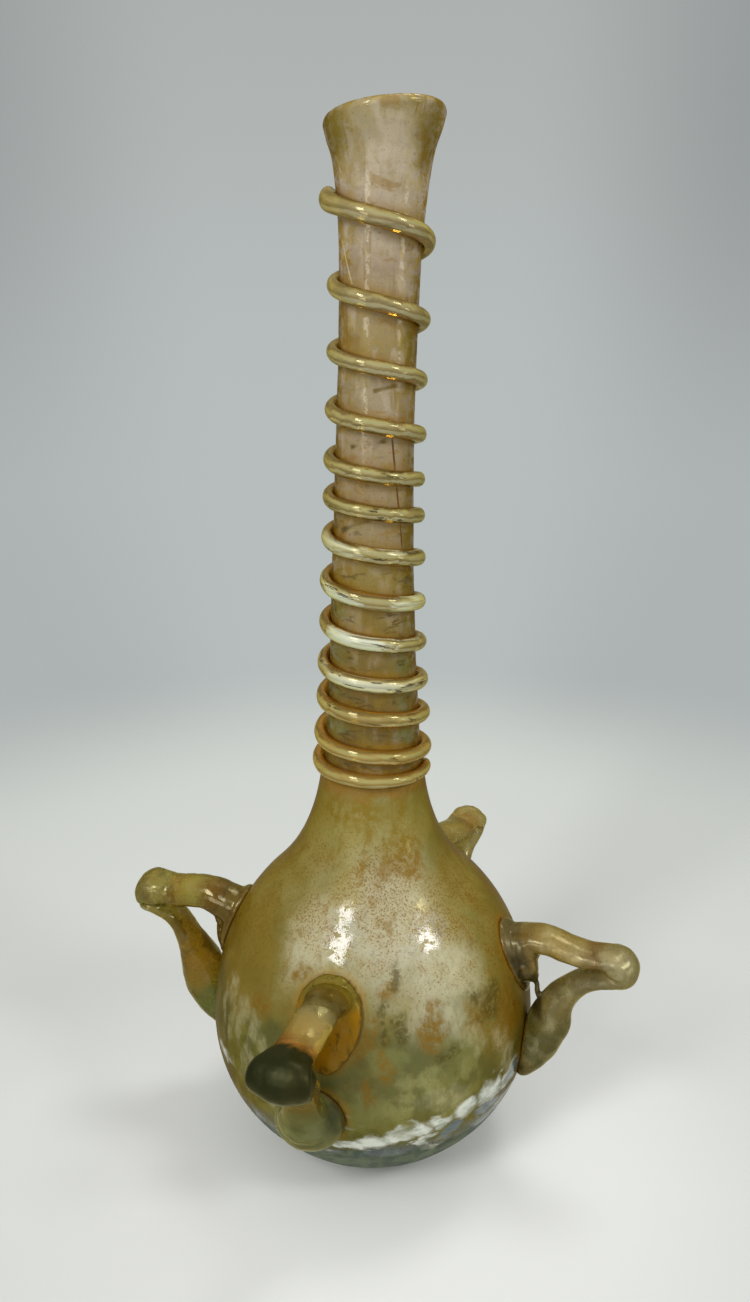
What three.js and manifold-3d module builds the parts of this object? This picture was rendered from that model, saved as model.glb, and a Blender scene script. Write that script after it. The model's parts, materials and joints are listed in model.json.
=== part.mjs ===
// A free-blown glass bottle: round body, tall neck with a thread of glass wound round it, four folded handles.
// Millimetres, +Z up. The origin is on the table, on the body's axis; handle_front is on -Y.
import * as THREE from 'three';
import { mergeVertices } from 'three/addons/utils/BufferGeometryUtils.js';
import Module from 'manifold-3d';

const wasm = await Module();
wasm.setup();

// Vessel
const overallHeight = 230;
const bodyRadius = 38;
const bellyHeight = 33;
const shoulderRise = 45;
const shoulderHeight = 92;
const neckFootRadius = 12;
const neckRadius = 7.9;
const neckWaistHeight = 190;
const mouthRadius = 11.8;
const lipRise = 1.5;
const glassWall = 2.2;
const footRadius = 15;
const kickRadius = 11;
const kickHeight = 2.5;
const floorThickness = 3;
const axisRadius = 0;
const tableHeight = 0;

// The neck bends a little to one side, and the mouth sits askew on it
const bendDirection = THREE.MathUtils.degToRad(19);
const bendHeight = 140;
const mouthShift = 2.4;
const mouthTilt = 1.1;
const bendPower = 1.3;

// Wound thread
const threadRise = 3.3;
const threadDepth = 2.8;
const threadTopHeight = 209.5;
const threadBottomHeight = 96.4;
const threadFrontAngle = THREE.MathUtils.degToRad(-71);
const threadLeadTurns = 0.31;
const threadTailTurns = 0.27;
const stepsPerTurn = 24;
const threadSides = 6;

// Handles
const handleReach = 61.4;
const knobHeight = 54.8;
const knobWidth = 11.6;
const knobDepth = 10.6;
const knobRise = 10.2;
const armHeight = 57.4;
const armThickness = 4.8;
const armWidth = 8.8;
const strutThickness = 6;
const strutWidth = 7.4;
const blobHeight = 33;
const blobRise = 16;
const blobWidth = 15.5;
const blobStandOff = 6.8;
const padTopHeight = 59.4;
const padBottomHeight = 42;
const padWidth = 12;
const padThickness = 5;
// Sideways set of a handle's ends from its knob: the blob went on first, the pad was pressed on last.
const blobSideStep = -1.8;
const padSideStep = 1.7;

// Clearance between a piece and the wall that it sits on
const seatGap = 0.3;

// Fineness
const turnSegments = 36;
const rodSides = 10;
const ballSides = 12;
const ballRings = 8;

// Outlines. Neck: height share from the shoulder to the waist, radius share between waist and neck foot.
const neckTaperShares = [[0, 1], [0.07, 0.72], [0.16, 0.58], [0.3, 0.39], [0.45, 0.24], [0.64, 0.11], [0.85, 0.02]];
// Mouth: height share from the waist to the rim, radius share between waist and rim.
const mouthFlareShares = [[0, 0], [0.34, 0.05], [0.55, 0.17], [0.7, 0.31], [0.84, 0.53], [0.93, 0.82], [1, 1]];
// Where the round shoulder turns into the neck's hollow curve, and how far each end of that curve is drawn.
const shoulderAngle = THREE.MathUtils.degToRad(50);
const shoulderPullShare = 0.29;
const neckPullShare = 0.45;
// Where each turn of the thread crosses the front, as shares of the thread's height: from the top turn, where it
// was started, down to the bottom one. The last share leads the thread's tail on.
const turnHeightShares = [1, 0.867, 0.761, 0.663, 0.577, 0.511, 0.434, 0.349, 0.269, 0.19, 0.124, 0.048, 0, -0.014];
// Thickness along the thread: fat where it was started, thin where it was pulled off.
const threadStartShare = 1.4;
const threadEndShare = 0.8;
const threadStartTurns = 0.22;
// Strut, from the blob to the knob: out share, up share, thickness share, width share.
const strutShares = [
  [0, 0, 1.83, 1.6],
  [0.14, 0.17, 1.8, 1.4],
  [0.25, 0.41, 1.6, 1.2],
  [0.42, 0.62, 1.17, 1],
  [0.645, 0.78, 0.97, 1],
  [1, 1, 1.2, 1.2],
];
// How far into the blob's stand-off the strut begins.
const strutStartShare = 0.25;
// Arm, from the knob to the wall: in share, share of the lift to the arm's height, share of the sink from
// there to its root, thickness share, width share.
const armShares = [
  [0, 0, 0, 1.3, 1.1],
  [0.18, 0.25, 0, 1.1, 0.98],
  [0.36, 0.7, 0, 1, 0.96],
  [0.54, 1, 0, 1, 1],
  [0.74, 1, 0.25, 1, 1],
  [1, 1, 1, 1.25, 1.1],
];
// How far down the pad the arm is rooted.
const armRootShare = 0.25;
// Pad, from its top to its drawn-out tail: down share, thickness share, width share.
const padShares = [
  [0, 0.3, 0.45],
  [0.18, 0.8, 0.85],
  [0.42, 1, 1],
  [0.7, 0.8, 0.82],
  [0.9, 0.5, 0.42],
  [1, 0.3, 0.2],
];

// The handles were made by hand, one after another, so they differ: shares of the usual sizes.
const handleShares = [
  {
    name: 'handle_front', angle: -88.6, knobHeight: 0.985, knobWidth: 1.165, knobDepth: 0.943, knobRise: 0.94,
    blobHeight: 0.91, blobRise: 0.97,
  },
  { name: 'handle_right', angle: 0 },
  { name: 'handle_back', angle: 81, knobHeight: 1.015, knobWidth: 0.9, knobDepth: 0.925, knobRise: 0.94 },
  {
    name: 'handle_left', angle: 185, knobHeight: 1.022, knobWidth: 1.12, knobDepth: 1.075, knobRise: 1.137,
    armHeight: 1.007, armThickness: 1.5, strutThickness: 1.3, blobHeight: 0.94, blobRise: 1.125, blobStandOff: 1.35,
  },
];
const usualHandle = {
  knobHeight, knobWidth, knobDepth, knobRise, armHeight, armThickness, strutThickness, blobHeight, blobRise,
  blobStandOff,
};

// Solids

function weld(geometry) {
  const bare = geometry.index ? geometry.clone() : geometry;
  bare.deleteAttribute('normal');
  bare.deleteAttribute('uv');
  return mergeVertices(bare, seatGap * 1e-3);
}

function toManifold(geometry) {
  const bare = weld(geometry);
  const vertProperties = new Float32Array(bare.attributes.position.array);
  const triVerts = new Uint32Array(withoutSlivers(bare));
  return new wasm.Manifold(new wasm.Mesh({ numProp: 3, vertProperties, triVerts }));
}

function withoutSlivers(geometry) {
  const kept = [];
  const index = geometry.index.array;
  for (let i = 0; i < index.length; i += 3) {
    const [a, b, c] = [index[i], index[i + 1], index[i + 2]];
    if (a !== b && b !== c && c !== a) kept.push(a, b, c);
  }
  return kept;
}

function toGeometry(solid) {
  const mesh = solid.getMesh();
  const geometry = new THREE.BufferGeometry();
  geometry.setAttribute('position', new THREE.Float32BufferAttribute(Array.from(mesh.vertProperties), 3));
  geometry.setIndex(Array.from(mesh.triVerts));
  geometry.computeVertexNormals();
  return geometry;
}

function meshOf(name, geometry, colour, roughness) {
  const material = new THREE.MeshStandardMaterial({ color: colour, roughness, metalness: 0 });
  material.name = name;
  const mesh = new THREE.Mesh(geometry, material);
  mesh.name = name;
  return mesh;
}

// Rings of points, each joined to the next, with both ends closed by a fan.
function skinRings(rings) {
  const sides = rings[0].length;
  const points = rings.flat();
  const faces = [];
  for (let r = 0; r < rings.length - 1; r++) {
    for (let s = 0; s < sides; s++) {
      const a = r * sides + s;
      const b = r * sides + (s + 1) % sides;
      faces.push(a, b, b + sides, a, b + sides, a + sides);
    }
  }
  const last = (rings.length - 1) * sides;
  for (let s = 1; s < sides - 1; s++) {
    faces.push(0, s + 1, s);
    faces.push(last, last + s, last + s + 1);
  }
  const geometry = new THREE.BufferGeometry();
  geometry.setAttribute('position', new THREE.Float32BufferAttribute(points.flatMap(p => p.toArray()), 3));
  geometry.setIndex(faces);
  geometry.computeVertexNormals();
  return geometry;
}

// Vessel outline, in (radius, height)

function lowerBody() {
  const fall = bellyHeight / Math.sqrt(1 - (footRadius / bodyRadius) ** 2);
  const start = -Math.asin(bellyHeight / fall);
  const arc = new THREE.EllipseCurve(axisRadius, bellyHeight, bodyRadius, fall, start, 0);
  return arc.getPoints(6);
}

function upperBody() {
  const arc = new THREE.EllipseCurve(axisRadius, bellyHeight, bodyRadius, shoulderRise, 0, shoulderAngle);
  return arc.getPoints(6);
}

function shoulderCurve() {
  const start = upperBody().at(-1);
  const end = new THREE.Vector2(neckFootRadius, shoulderHeight);
  const startWay = new THREE.Vector2(-bodyRadius * Math.sin(shoulderAngle), shoulderRise * Math.cos(shoulderAngle));
  const neckSpan = neckWaistHeight - shoulderHeight;
  const [nextHeight, nextRadius] = neckTaperShares[1];
  const endWay = new THREE.Vector2((nextRadius - 1) * (neckFootRadius - neckRadius), nextHeight * neckSpan);
  const reach = start.distanceTo(end);
  const first = start.clone().addScaledVector(startWay.normalize(), reach * shoulderPullShare);
  const second = end.clone().addScaledVector(endWay.normalize(), -reach * neckPullShare);
  return new THREE.CubicBezierCurve(start, first, second, end).getPoints(5);
}

function neckAndMouth() {
  const rimHeight = overallHeight - mouthTilt - lipRise;
  const taper = neckTaperShares.map(([up, wide]) => new THREE.Vector2(
    neckRadius + wide * (neckFootRadius - neckRadius),
    shoulderHeight + up * (neckWaistHeight - shoulderHeight),
  ));
  const flare = mouthFlareShares.map(([up, wide]) => new THREE.Vector2(
    neckRadius + wide * (mouthRadius - neckRadius),
    neckWaistHeight + up * (rimHeight - neckWaistHeight),
  ));
  return new THREE.SplineCurve([...taper, ...flare]).getPoints(14);
}

function outerOutline() {
  const parts = [lowerBody(), upperBody(), shoulderCurve(), neckAndMouth()];
  return parts.flatMap((points, i) => (i === 0 ? points : points.slice(1)));
}

// Points moved square to the outline, outwards for a positive distance.
function offsetOutline(points, distance) {
  return points.map((point, i) => {
    const before = points[Math.max(i - 1, 0)];
    const after = points[Math.min(i + 1, points.length - 1)];
    const way = after.clone().sub(before).normalize();
    return new THREE.Vector2(point.x + way.y * distance, point.y - way.x * distance);
  });
}

function innerOutline() {
  const aboveBelly = outerOutline().filter(p => p.y > bellyHeight);
  const shell = offsetOutline(aboveBelly, -glassWall);
  shell.at(-1).y = aboveBelly.at(-1).y;
  const floor = kickHeight + floorThickness;
  const bowl = new THREE.EllipseCurve(
    axisRadius, bellyHeight, bodyRadius - glassWall, bellyHeight - floor, -Math.PI / 2, 0,
  ).getPoints(6);
  bowl[0].x = axisRadius;
  return [...bowl, ...shell];
}

function lip(outerEdge, innerEdge) {
  const middle = outerEdge.clone().add(innerEdge).multiplyScalar(0.5);
  const half = (outerEdge.x - innerEdge.x) / 2;
  const arc = new THREE.EllipseCurve(middle.x, middle.y, half, lipRise, 0, Math.PI).getPoints(4);
  return arc.slice(1, -1);
}

function underside() {
  const kick = new THREE.EllipseCurve(axisRadius, tableHeight, kickRadius, kickHeight, Math.PI / 2, 0).getPoints(3);
  kick[0].x = axisRadius;
  return kick;
}

// Wall radius at a height, straight between the outline's points, as the turned mesh has it.
function wallRadius(height) {
  const points = outerOutline();
  const next = Math.max(1, points.findIndex(p => p.y >= height));
  const [low, high] = [points[next - 1], points[next]];
  const share = THREE.MathUtils.clamp((height - low.y) / (high.y - low.y), 0, 1);
  return THREE.MathUtils.lerp(low.x, high.x, share);
}

function bendAt(height) {
  const along = Math.max(0, (height - bendHeight) / (overallHeight - bendHeight));
  return mouthShift * along ** bendPower;
}

// Moves a point of the upright form to its place in the bent one.
function bend(point) {
  const shift = bendAt(point.z);
  const side = point.x * Math.cos(bendDirection) + point.y * Math.sin(bendDirection);
  const skew = THREE.MathUtils.smoothstep(point.z, threadTopHeight, overallHeight - mouthTilt);
  point.z += mouthTilt * skew * side / mouthRadius;
  point.x += shift * Math.cos(bendDirection);
  point.y += shift * Math.sin(bendDirection);
  return point;
}

function turned(profile) {
  const geometry = weld(new THREE.LatheGeometry(profile, turnSegments).rotateX(Math.PI / 2));
  geometry.setIndex(withoutSlivers(geometry));
  const position = geometry.attributes.position;
  for (let i = 0; i < position.count; i++) {
    const point = bend(new THREE.Vector3().fromBufferAttribute(position, i));
    position.setXYZ(i, point.x, point.y, point.z);
  }
  geometry.computeVertexNormals();
  return geometry;
}

function vessel() {
  const outer = outerOutline();
  const inner = innerOutline();
  const profile = [...underside(), ...outer, ...lip(outer.at(-1), inner.at(-1)), ...inner.reverse()];
  return meshOf('vessel', turned(profile), 0x6d6440, 0.35);
}

// The vessel as a solid, larger by the clearance, which cuts the handles' seats.
function seatCutter() {
  const outer = outerOutline();
  const grown = offsetOutline(outer, seatGap);
  const bottom = new THREE.Vector2(axisRadius, grown[0].y);
  const top = new THREE.Vector2(axisRadius, grown.at(-1).y);
  return toManifold(turned([bottom, ...grown, top]));
}

// Wound thread

function threadHeight(turn) {
  const span = threadTopHeight - threadBottomHeight;
  const lead = 2 * turnHeightShares[0] - turnHeightShares[1];
  const shares = [lead, ...turnHeightShares];
  const curve = new THREE.SplineCurve(shares.map((share, i) => new THREE.Vector2(i - 1, share)));
  const place = curve.getPoint((turn + 1) / (shares.length - 1));
  return threadBottomHeight + span * place.y;
}

function threadSpine() {
  const turns = turnHeightShares.length - 2;
  const length = threadLeadTurns + turns + threadTailTurns;
  const count = Math.round(length * stepsPerTurn);
  const spine = [];
  for (let i = 0; i <= count; i++) {
    const turn = -threadLeadTurns + length * i / count;
    const height = threadHeight(turn);
    const start = 1 - THREE.MathUtils.smoothstep(turn, -threadLeadTurns, threadStartTurns - threadLeadTurns);
    const end = THREE.MathUtils.smoothstep(turn, turns, turns + threadTailTurns);
    const swell = 1 + (threadStartShare - 1) * start + (threadEndShare - 1) * end;
    const depth = threadDepth / 2 * swell;
    const rise = threadRise / 2 * swell;
    const outward = (wallRadius(height) + seatGap + depth) / Math.cos(Math.PI / stepsPerTurn);
    const angle = threadFrontAngle + turn * 2 * Math.PI;
    const middle = new THREE.Vector3(outward * Math.cos(angle), outward * Math.sin(angle), height);
    spine.push({ middle: bend(middle), depth, rise, angle });
  }
  return spine;
}

function threadGap(spine) {
  let least = Infinity;
  for (let i = 0; i < spine.length; i++) {
    for (let j = i + stepsPerTurn / 2; j < spine.length; j++) {
      const apart = spine[i].middle.distanceTo(spine[j].middle);
      least = Math.min(least, apart - spine[i].rise - spine[j].rise);
    }
  }
  return least;
}

function neckTrail() {
  const spine = threadSpine();
  console.log(`neck_trail: least gap to itself ${threadGap(spine).toFixed(2)} mm`);
  const rings = spine.map(({ middle, depth, rise, angle }, i) => {
    const before = spine[Math.max(i - 1, 0)].middle;
    const after = spine[Math.min(i + 1, spine.length - 1)].middle;
    const way = after.clone().sub(before).normalize();
    const outward = new THREE.Vector3(Math.cos(angle), Math.sin(angle), 0);
    const across = way.clone().cross(outward).normalize();
    const out = across.clone().cross(way).normalize();
    return Array.from({ length: threadSides }, (_, s) => {
      const round = 2 * Math.PI * (s + 0.5) / threadSides;
      return middle.clone()
        .addScaledVector(out, depth * Math.cos(round))
        .addScaledVector(across, rise * Math.sin(round));
    });
  });
  return meshOf('neck_trail', skinRings(rings), 0x9a9a86, 0.2);
}

// Handles. Each is drawn in its own upright plane: x outwards from the axis, z up, y across.

// A rod along a smooth line, with an oval section that changes along it. Each station is
// [outwards, across, up, thickness in the plane, width across].
function rod(stations, steps) {
  const line = new THREE.CatmullRomCurve3(stations.map(([x, y, z]) => new THREE.Vector3(x, y, z)));
  const sizes = new THREE.CatmullRomCurve3(stations.map(([, , , t, w]) => new THREE.Vector3(t, w, 0)));
  const rings = [];
  for (let i = 0; i <= steps; i++) {
    const middle = line.getPoint(i / steps);
    const way = line.getTangent(i / steps);
    const size = sizes.getPoint(i / steps);
    const out = new THREE.Vector3(0, 1, 0).cross(way).normalize();
    const across = way.clone().cross(out).normalize();
    rings.push(Array.from({ length: rodSides }, (_, s) => {
      const round = 2 * Math.PI * s / rodSides;
      return middle.clone()
        .addScaledVector(out, size.x / 2 * Math.cos(round))
        .addScaledVector(across, size.y / 2 * Math.sin(round));
    }));
  }
  return toManifold(skinRings(rings));
}

function ball(place, depth, width, rise) {
  const geometry = new THREE.SphereGeometry(1, ballSides, ballRings);
  geometry.rotateX(Math.PI / 2);
  geometry.scale(depth / 2, width / 2, rise / 2);
  geometry.translate(place.x, place.y, place.z);
  return toManifold(geometry);
}

function strut(knob, one) {
  const start = wallRadius(one.blobHeight) + one.blobStandOff * strutStartShare;
  return rod(strutShares.map(([out, up, thick, wide]) => [
    THREE.MathUtils.lerp(start, knob.x, out),
    THREE.MathUtils.lerp(blobSideStep, knob.y, up),
    THREE.MathUtils.lerp(one.blobHeight, knob.z, up),
    one.strutThickness * thick,
    strutWidth * wide,
  ]), 10);
}

function arm(knob, one) {
  const rootHeight = THREE.MathUtils.lerp(padTopHeight, padBottomHeight, armRootShare);
  const root = wallRadius(rootHeight) - glassWall;
  return rod(armShares.map(([inwards, lift, sink, thick, wide]) => [
    THREE.MathUtils.lerp(knob.x, root, inwards),
    THREE.MathUtils.lerp(knob.y, padSideStep, inwards),
    THREE.MathUtils.lerp(THREE.MathUtils.lerp(knob.z, one.armHeight, lift), rootHeight, sink),
    one.armThickness * thick,
    armWidth * wide,
  ]), 9);
}

function pad() {
  return rod(padShares.map(([down, thick, wide]) => {
    const height = THREE.MathUtils.lerp(padTopHeight, padBottomHeight, down);
    return [wallRadius(height), padSideStep, height, padThickness * thick, padWidth * wide];
  }), 8);
}

// The knob's place, so that it reaches as far along the nearest main direction whatever its turn from it.
function knobPlace(one) {
  const turn = THREE.MathUtils.degToRad(one.angle - 90 * Math.round(one.angle / 90));
  const half = Math.hypot(one.knobDepth / 2 * Math.cos(turn), one.knobWidth / 2 * Math.sin(turn));
  return new THREE.Vector3((handleReach - half) / Math.cos(turn), 0, one.knobHeight);
}

// One handle's sizes: the usual ones, each times the handle's share where it has one.
function handleSizes({ name, angle, ...shares }) {
  const sizes = Object.entries(usualHandle).map(([size, value]) => [size, value * (shares[size] ?? 1)]);
  return { name, angle, ...Object.fromEntries(sizes) };
}

function handle(one, cutter) {
  const knob = knobPlace(one);
  const blob = new THREE.Vector3(wallRadius(one.blobHeight), blobSideStep, one.blobHeight);
  const whole = ball(knob, one.knobDepth, one.knobWidth, one.knobRise)
    .add(strut(knob, one))
    .add(arm(knob, one))
    .add(pad())
    .add(ball(blob, 2 * one.blobStandOff, blobWidth, one.blobRise));
  const turn = THREE.MathUtils.degToRad(one.angle);
  const placed = toManifold(toGeometry(whole).rotateZ(turn));
  return meshOf(one.name, toGeometry(placed.subtract(cutter)), 0x7c7a4a, 0.25);
}

const bottle = new THREE.Group();
bottle.name = 'glass_bottle';
bottle.add(vessel());
bottle.add(neckTrail());
const cutter = seatCutter();
for (const one of handleShares) bottle.add(handle(handleSizes(one), cutter));

export default bottle;
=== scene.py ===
"""A free-blown bottle of olive glass: round body, tall neck with a wound trail, four folded handles."""
import bisect
import json
import math

import bmesh
import bpy
from bpy.props import FloatProperty, FloatVectorProperty, IntProperty, PointerProperty
from bpy.types import Operator, Panel, PropertyGroup
from mathutils import Matrix, Vector, kdtree, noise
from mathutils.bvhtree import BVHTree

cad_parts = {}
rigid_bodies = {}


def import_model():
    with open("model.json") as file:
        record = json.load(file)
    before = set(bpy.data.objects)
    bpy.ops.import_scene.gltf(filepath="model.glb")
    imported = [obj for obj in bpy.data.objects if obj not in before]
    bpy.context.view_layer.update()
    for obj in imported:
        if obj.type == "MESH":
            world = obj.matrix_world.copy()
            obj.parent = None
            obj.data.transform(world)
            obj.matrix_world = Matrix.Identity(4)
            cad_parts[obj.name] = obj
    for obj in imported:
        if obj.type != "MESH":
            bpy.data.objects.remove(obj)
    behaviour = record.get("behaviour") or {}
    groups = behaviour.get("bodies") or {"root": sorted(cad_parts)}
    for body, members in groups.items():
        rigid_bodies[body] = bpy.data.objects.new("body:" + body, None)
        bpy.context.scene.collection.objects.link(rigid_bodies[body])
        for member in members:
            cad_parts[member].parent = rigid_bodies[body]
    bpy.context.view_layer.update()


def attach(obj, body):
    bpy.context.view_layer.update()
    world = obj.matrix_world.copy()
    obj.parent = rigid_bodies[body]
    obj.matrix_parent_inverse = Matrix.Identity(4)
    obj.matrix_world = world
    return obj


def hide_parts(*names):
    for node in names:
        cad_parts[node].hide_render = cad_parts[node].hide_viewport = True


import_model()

bl_info = {
    "name": "Blown Glass Bottle",
    "version": (1, 0, 0),
    "blender": (4, 5, 0),
    "location": "View3D > Sidebar > Bottle",
    "description": "Blows a round glass bottle, winds a trail round its neck and folds its four handles",
    "category": "Add Mesh",
}

MM = 0.001
UP = Vector((0, 0, 1))
# How far from a neighbour, in millimetres, the wall still notes its distance to it.
SEAT_REACH = 6.0
# Lengths, in metres, that count as none, and as one and the same place.
NO_LENGTH, SAME_PLACE = 1e-7, 1e-6

# Outlines, as shares. Neck: height from the shoulder to the waist, radius between waist and neck foot.
NECK_TAPER = ((0, 1), (0.07, 0.72), (0.16, 0.58), (0.3, 0.39), (0.45, 0.24), (0.64, 0.11), (0.85, 0.02))
# Mouth: height from the waist to the rim, radius between waist and rim.
MOUTH_FLARE = ((0, 0), (0.34, 0.05), (0.55, 0.17), (0.7, 0.31), (0.84, 0.53), (0.93, 0.82), (1, 1))
SHOULDER_ANGLE = math.radians(50)
SHOULDER_PULL = 0.29
NECK_PULL = 0.45
# Points along the curves of the body, the shoulder's hollow, the neck, the inner bowl, the kick and the lip.
BODY_POINTS, HOLLOW_POINTS, NECK_POINTS, BOWL_POINTS, KICK_POINTS, LIP_POINTS = 28, 24, 200, 24, 8, 10
# Spins are made in steps this many times as wide, and then divided.
COARSE = 4
# The wall's slow and its quick stray: how fast it changes round the wall, the height over which it changes,
# and where in the noise it begins.
SLOW_STRAY, QUICK_STRAY = (1.1, 0.034, 3.1), (2.3, 0.011, 9.7)
# How much of the slow stray the neck has, how much more the body has, and how much both have of the quick one.
NECK_STRAY, BODY_STRAY, QUICK_SHARE = 0.45, 0.75, 0.3
# Radius from which the wall strays fully.
STRAY_RADIUS = 0.008
# Height from which the mouth is tilted, and how the neck's lean grows towards it.
TILT_FROM, LEAN_POWER = 0.2095, 1.3
# Where each turn of the trail crosses the front, as shares of its height from the top turn (1) down to the
# bottom one (0). The last share leads the tail on.
TURN_HEIGHTS = (1, 0.867, 0.761, 0.663, 0.577, 0.511, 0.434, 0.349, 0.269, 0.19, 0.124, 0.048, 0, -0.014)


def paint(code):
    """A colour written as six hex digits, as the linear values that a shader takes."""
    parts = [int(code[i:i + 2], 16) / 255 for i in (0, 2, 4)]
    return tuple(p / 12.92 if p <= 0.04045 else ((p + 0.055) / 1.055) ** 2.4 for p in parts)


def facing(angle):
    """The level direction at this angle from +X."""
    return Vector((math.cos(angle), math.sin(angle), 0))


def length(name, description, default):
    return FloatProperty(name=name, description=description, default=default, unit="LENGTH", precision=4)


def direction(name, description, degrees):
    return FloatProperty(name=name, description=description, default=math.radians(degrees), subtype="ANGLE")


def colour(name, description, code):
    return FloatVectorProperty(
        name=name, description=description, default=paint(code), subtype="COLOR", size=3, min=0, max=1)


class BottleSizes(PropertyGroup):
    """Sizes of the blown vessel."""
    height: length("Height", "Table to the high side of the rim", 0.230)
    body_radius: length("Body radius", "Widest radius of the body", 0.038)
    belly_height: length("Belly height", "Height of the widest ring", 0.033)
    shoulder_rise: length("Shoulder rise", "Upright radius of the upper body's curve", 0.045)
    shoulder_height: length("Shoulder height", "Where the shoulder ends and the neck begins", 0.092)
    neck_foot_radius: length("Neck foot radius", "Radius where the neck begins", 0.012)
    neck_radius: length("Neck radius", "Radius at the neck's waist", 0.0079)
    waist_height: length("Waist height", "Height of the neck's waist", 0.190)
    mouth_radius: length("Mouth radius", "Outer radius of the rim", 0.0118)
    lip_rise: length("Lip rise", "Height of the rounded rim", 0.0015)
    wall: length("Wall", "Thickness of the glass", 0.0022)
    foot_radius: length("Foot radius", "Radius of the ring it stands on", 0.015)
    kick_radius: length("Kick radius", "Radius of the pushed-in base", 0.011)
    kick_height: length("Kick height", "Depth of the pushed-in base", 0.0025)
    floor: length("Floor", "Thickness of the glass in the base", 0.003)
    bend_angle: direction("Bend direction", "Side to which the neck leans", 19)
    bend_height: length("Bend height", "Where the neck begins to lean", 0.140)
    mouth_shift: length("Mouth shift", "How far the mouth has moved sideways", 0.0024)
    mouth_tilt: length("Mouth tilt", "How much higher one side of the rim is", 0.0011)
    lip_angle: direction("High lip direction", "Side on which the lip was pulled up", -71)
    lip_pull: length("Lip pull", "How far the lip was pulled up there", 0.0012)
    wobble: length("Wobble", "How far the hand-blown wall strays from a true turning", 0.0003)
    steps: IntProperty(name="Steps", description="Steps of the turning", default=176, min=24)


class TrailSizes(PropertyGroup):
    """Sizes of the trail of glass wound round the neck."""
    rise: length("Rise", "Height of the trail's section", 0.0033)
    depth: length("Depth", "How far the trail stands out", 0.0028)
    top: length("Top", "Height of the first turn", 0.2095)
    bottom: length("Bottom", "Height of the last turn", 0.0964)
    front_angle: direction("Front", "Direction in which the turns are counted", -71)
    lead: FloatProperty(name="Lead", description="Turns before the first crossing", default=0.31)
    tail: FloatProperty(name="Tail", description="Turns after the last crossing", default=0.27)
    sink: length("Sink", "How far the soft trail sank into the wall", 0.0003)
    steps: IntProperty(name="Steps", description="Steps in each turn", default=80, min=24)
    sides: IntProperty(name="Sides", description="Sides of the trail's section", default=18, min=6)


class HandleSizes(PropertyGroup):
    """Sizes that the four handles share."""
    voxel: length("Grain", "Fineness at which the worked glass is fused", 0.0003)
    sides: IntProperty(name="Sides", description="Sides of the drawn rod", default=24, min=8)


class GlassColours(PropertyGroup):
    """Colours of the glass and of the weathering on it."""
    olive: colour("Olive", "Weathered olive glass", "757044")
    khaki: colour("Khaki", "Pale weathered glass", "8f8962")
    amber: colour("Amber", "Amber glass where the wall is thick", "6b591b")
    green: colour("Green", "Greener glass towards the foot", "4c5030")
    rust: colour("Rust", "Iron stain", "735516")
    speckle: colour("Speckle", "Fine brown speckle", "6a4c18")
    moss: colour("Moss", "Dark green-brown stain", "403510")
    teal: colour("Teal", "Bare blue-green glass", "435453")
    crust: colour("Crust", "Silvery flaking crust", "cdd0c2")


class StageSettings(PropertyGroup):
    """Table, backdrop and light."""
    cloth: colour("Cloth", "Pale cloth on the table", "c9cac7")
    wall: colour("Wall", "Backdrop", "b6bdbc")


# Turning and drawing

def along_spline(points, share):
    """The point at a share of a smooth line through the points."""
    place = share * (len(points) - 1)
    i = min(int(place), len(points) - 2)
    t = place - i
    p0, p1, p2, p3 = (points[max(0, min(len(points) - 1, i + k))] for k in (-1, 0, 1, 2))
    v1, v2 = (p2 - p0) / 2, (p3 - p1) / 2
    return (2 * p1 - 2 * p2 + v1 + v2) * t ** 3 + (3 * p2 - 3 * p1 - 2 * v1 - v2) * t ** 2 + v1 * t + p1


def smooth(value, low, high):
    """0 below low, 1 above high, and a soft step between."""
    t = max(0.0, min(1.0, (value - low) / (high - low)))
    return t * t * (3 - 2 * t)


def arc(middle, across, upright, start, end, count):
    turns = (start + (end - start) * i / count for i in range(count + 1))
    return [Vector((middle[0] + across * math.cos(a), middle[1] + upright * math.sin(a))) for a in turns]


def outer_outline(size):
    """The outer wall from the foot to the rim, as (radius, height)."""
    fall = size.belly_height / math.sqrt(1 - (size.foot_radius / size.body_radius) ** 2)
    low = -math.asin(size.belly_height / fall)
    belly = (0, size.belly_height)
    points = arc(belly, size.body_radius, fall, low, 0, BODY_POINTS)
    points += arc(belly, size.body_radius, size.shoulder_rise, 0, SHOULDER_ANGLE, BODY_POINTS)[1:]
    start, end = points[-1], Vector((size.neck_foot_radius, size.shoulder_height))
    leave = Vector((
        -size.body_radius * math.sin(SHOULDER_ANGLE), size.shoulder_rise * math.cos(SHOULDER_ANGLE)))
    up, wide = NECK_TAPER[1]
    spread = size.neck_foot_radius - size.neck_radius
    rise = size.waist_height - size.shoulder_height
    arrive = Vector(((wide - 1) * spread, up * rise))
    pull = (end - start).length
    first = start + leave.normalized() * pull * SHOULDER_PULL
    second = end - arrive.normalized() * pull * NECK_PULL
    for i in range(1, HOLLOW_POINTS + 1):
        t = i / HOLLOW_POINTS
        points.append(
            start * (1 - t) ** 3 + first * 3 * t * (1 - t) ** 2 + second * 3 * t * t * (1 - t) + end * t ** 3)
    rim = size.height - size.mouth_tilt - size.lip_rise
    knots = [Vector((size.neck_radius + w * spread, size.shoulder_height + u * rise)) for u, w in NECK_TAPER]
    knots += [
        Vector((size.neck_radius + w * (size.mouth_radius - size.neck_radius),
                size.waist_height + u * (rim - size.waist_height)))
        for u, w in MOUTH_FLARE]
    return points + [along_spline(knots, i / NECK_POINTS) for i in range(1, NECK_POINTS + 1)]


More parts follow.
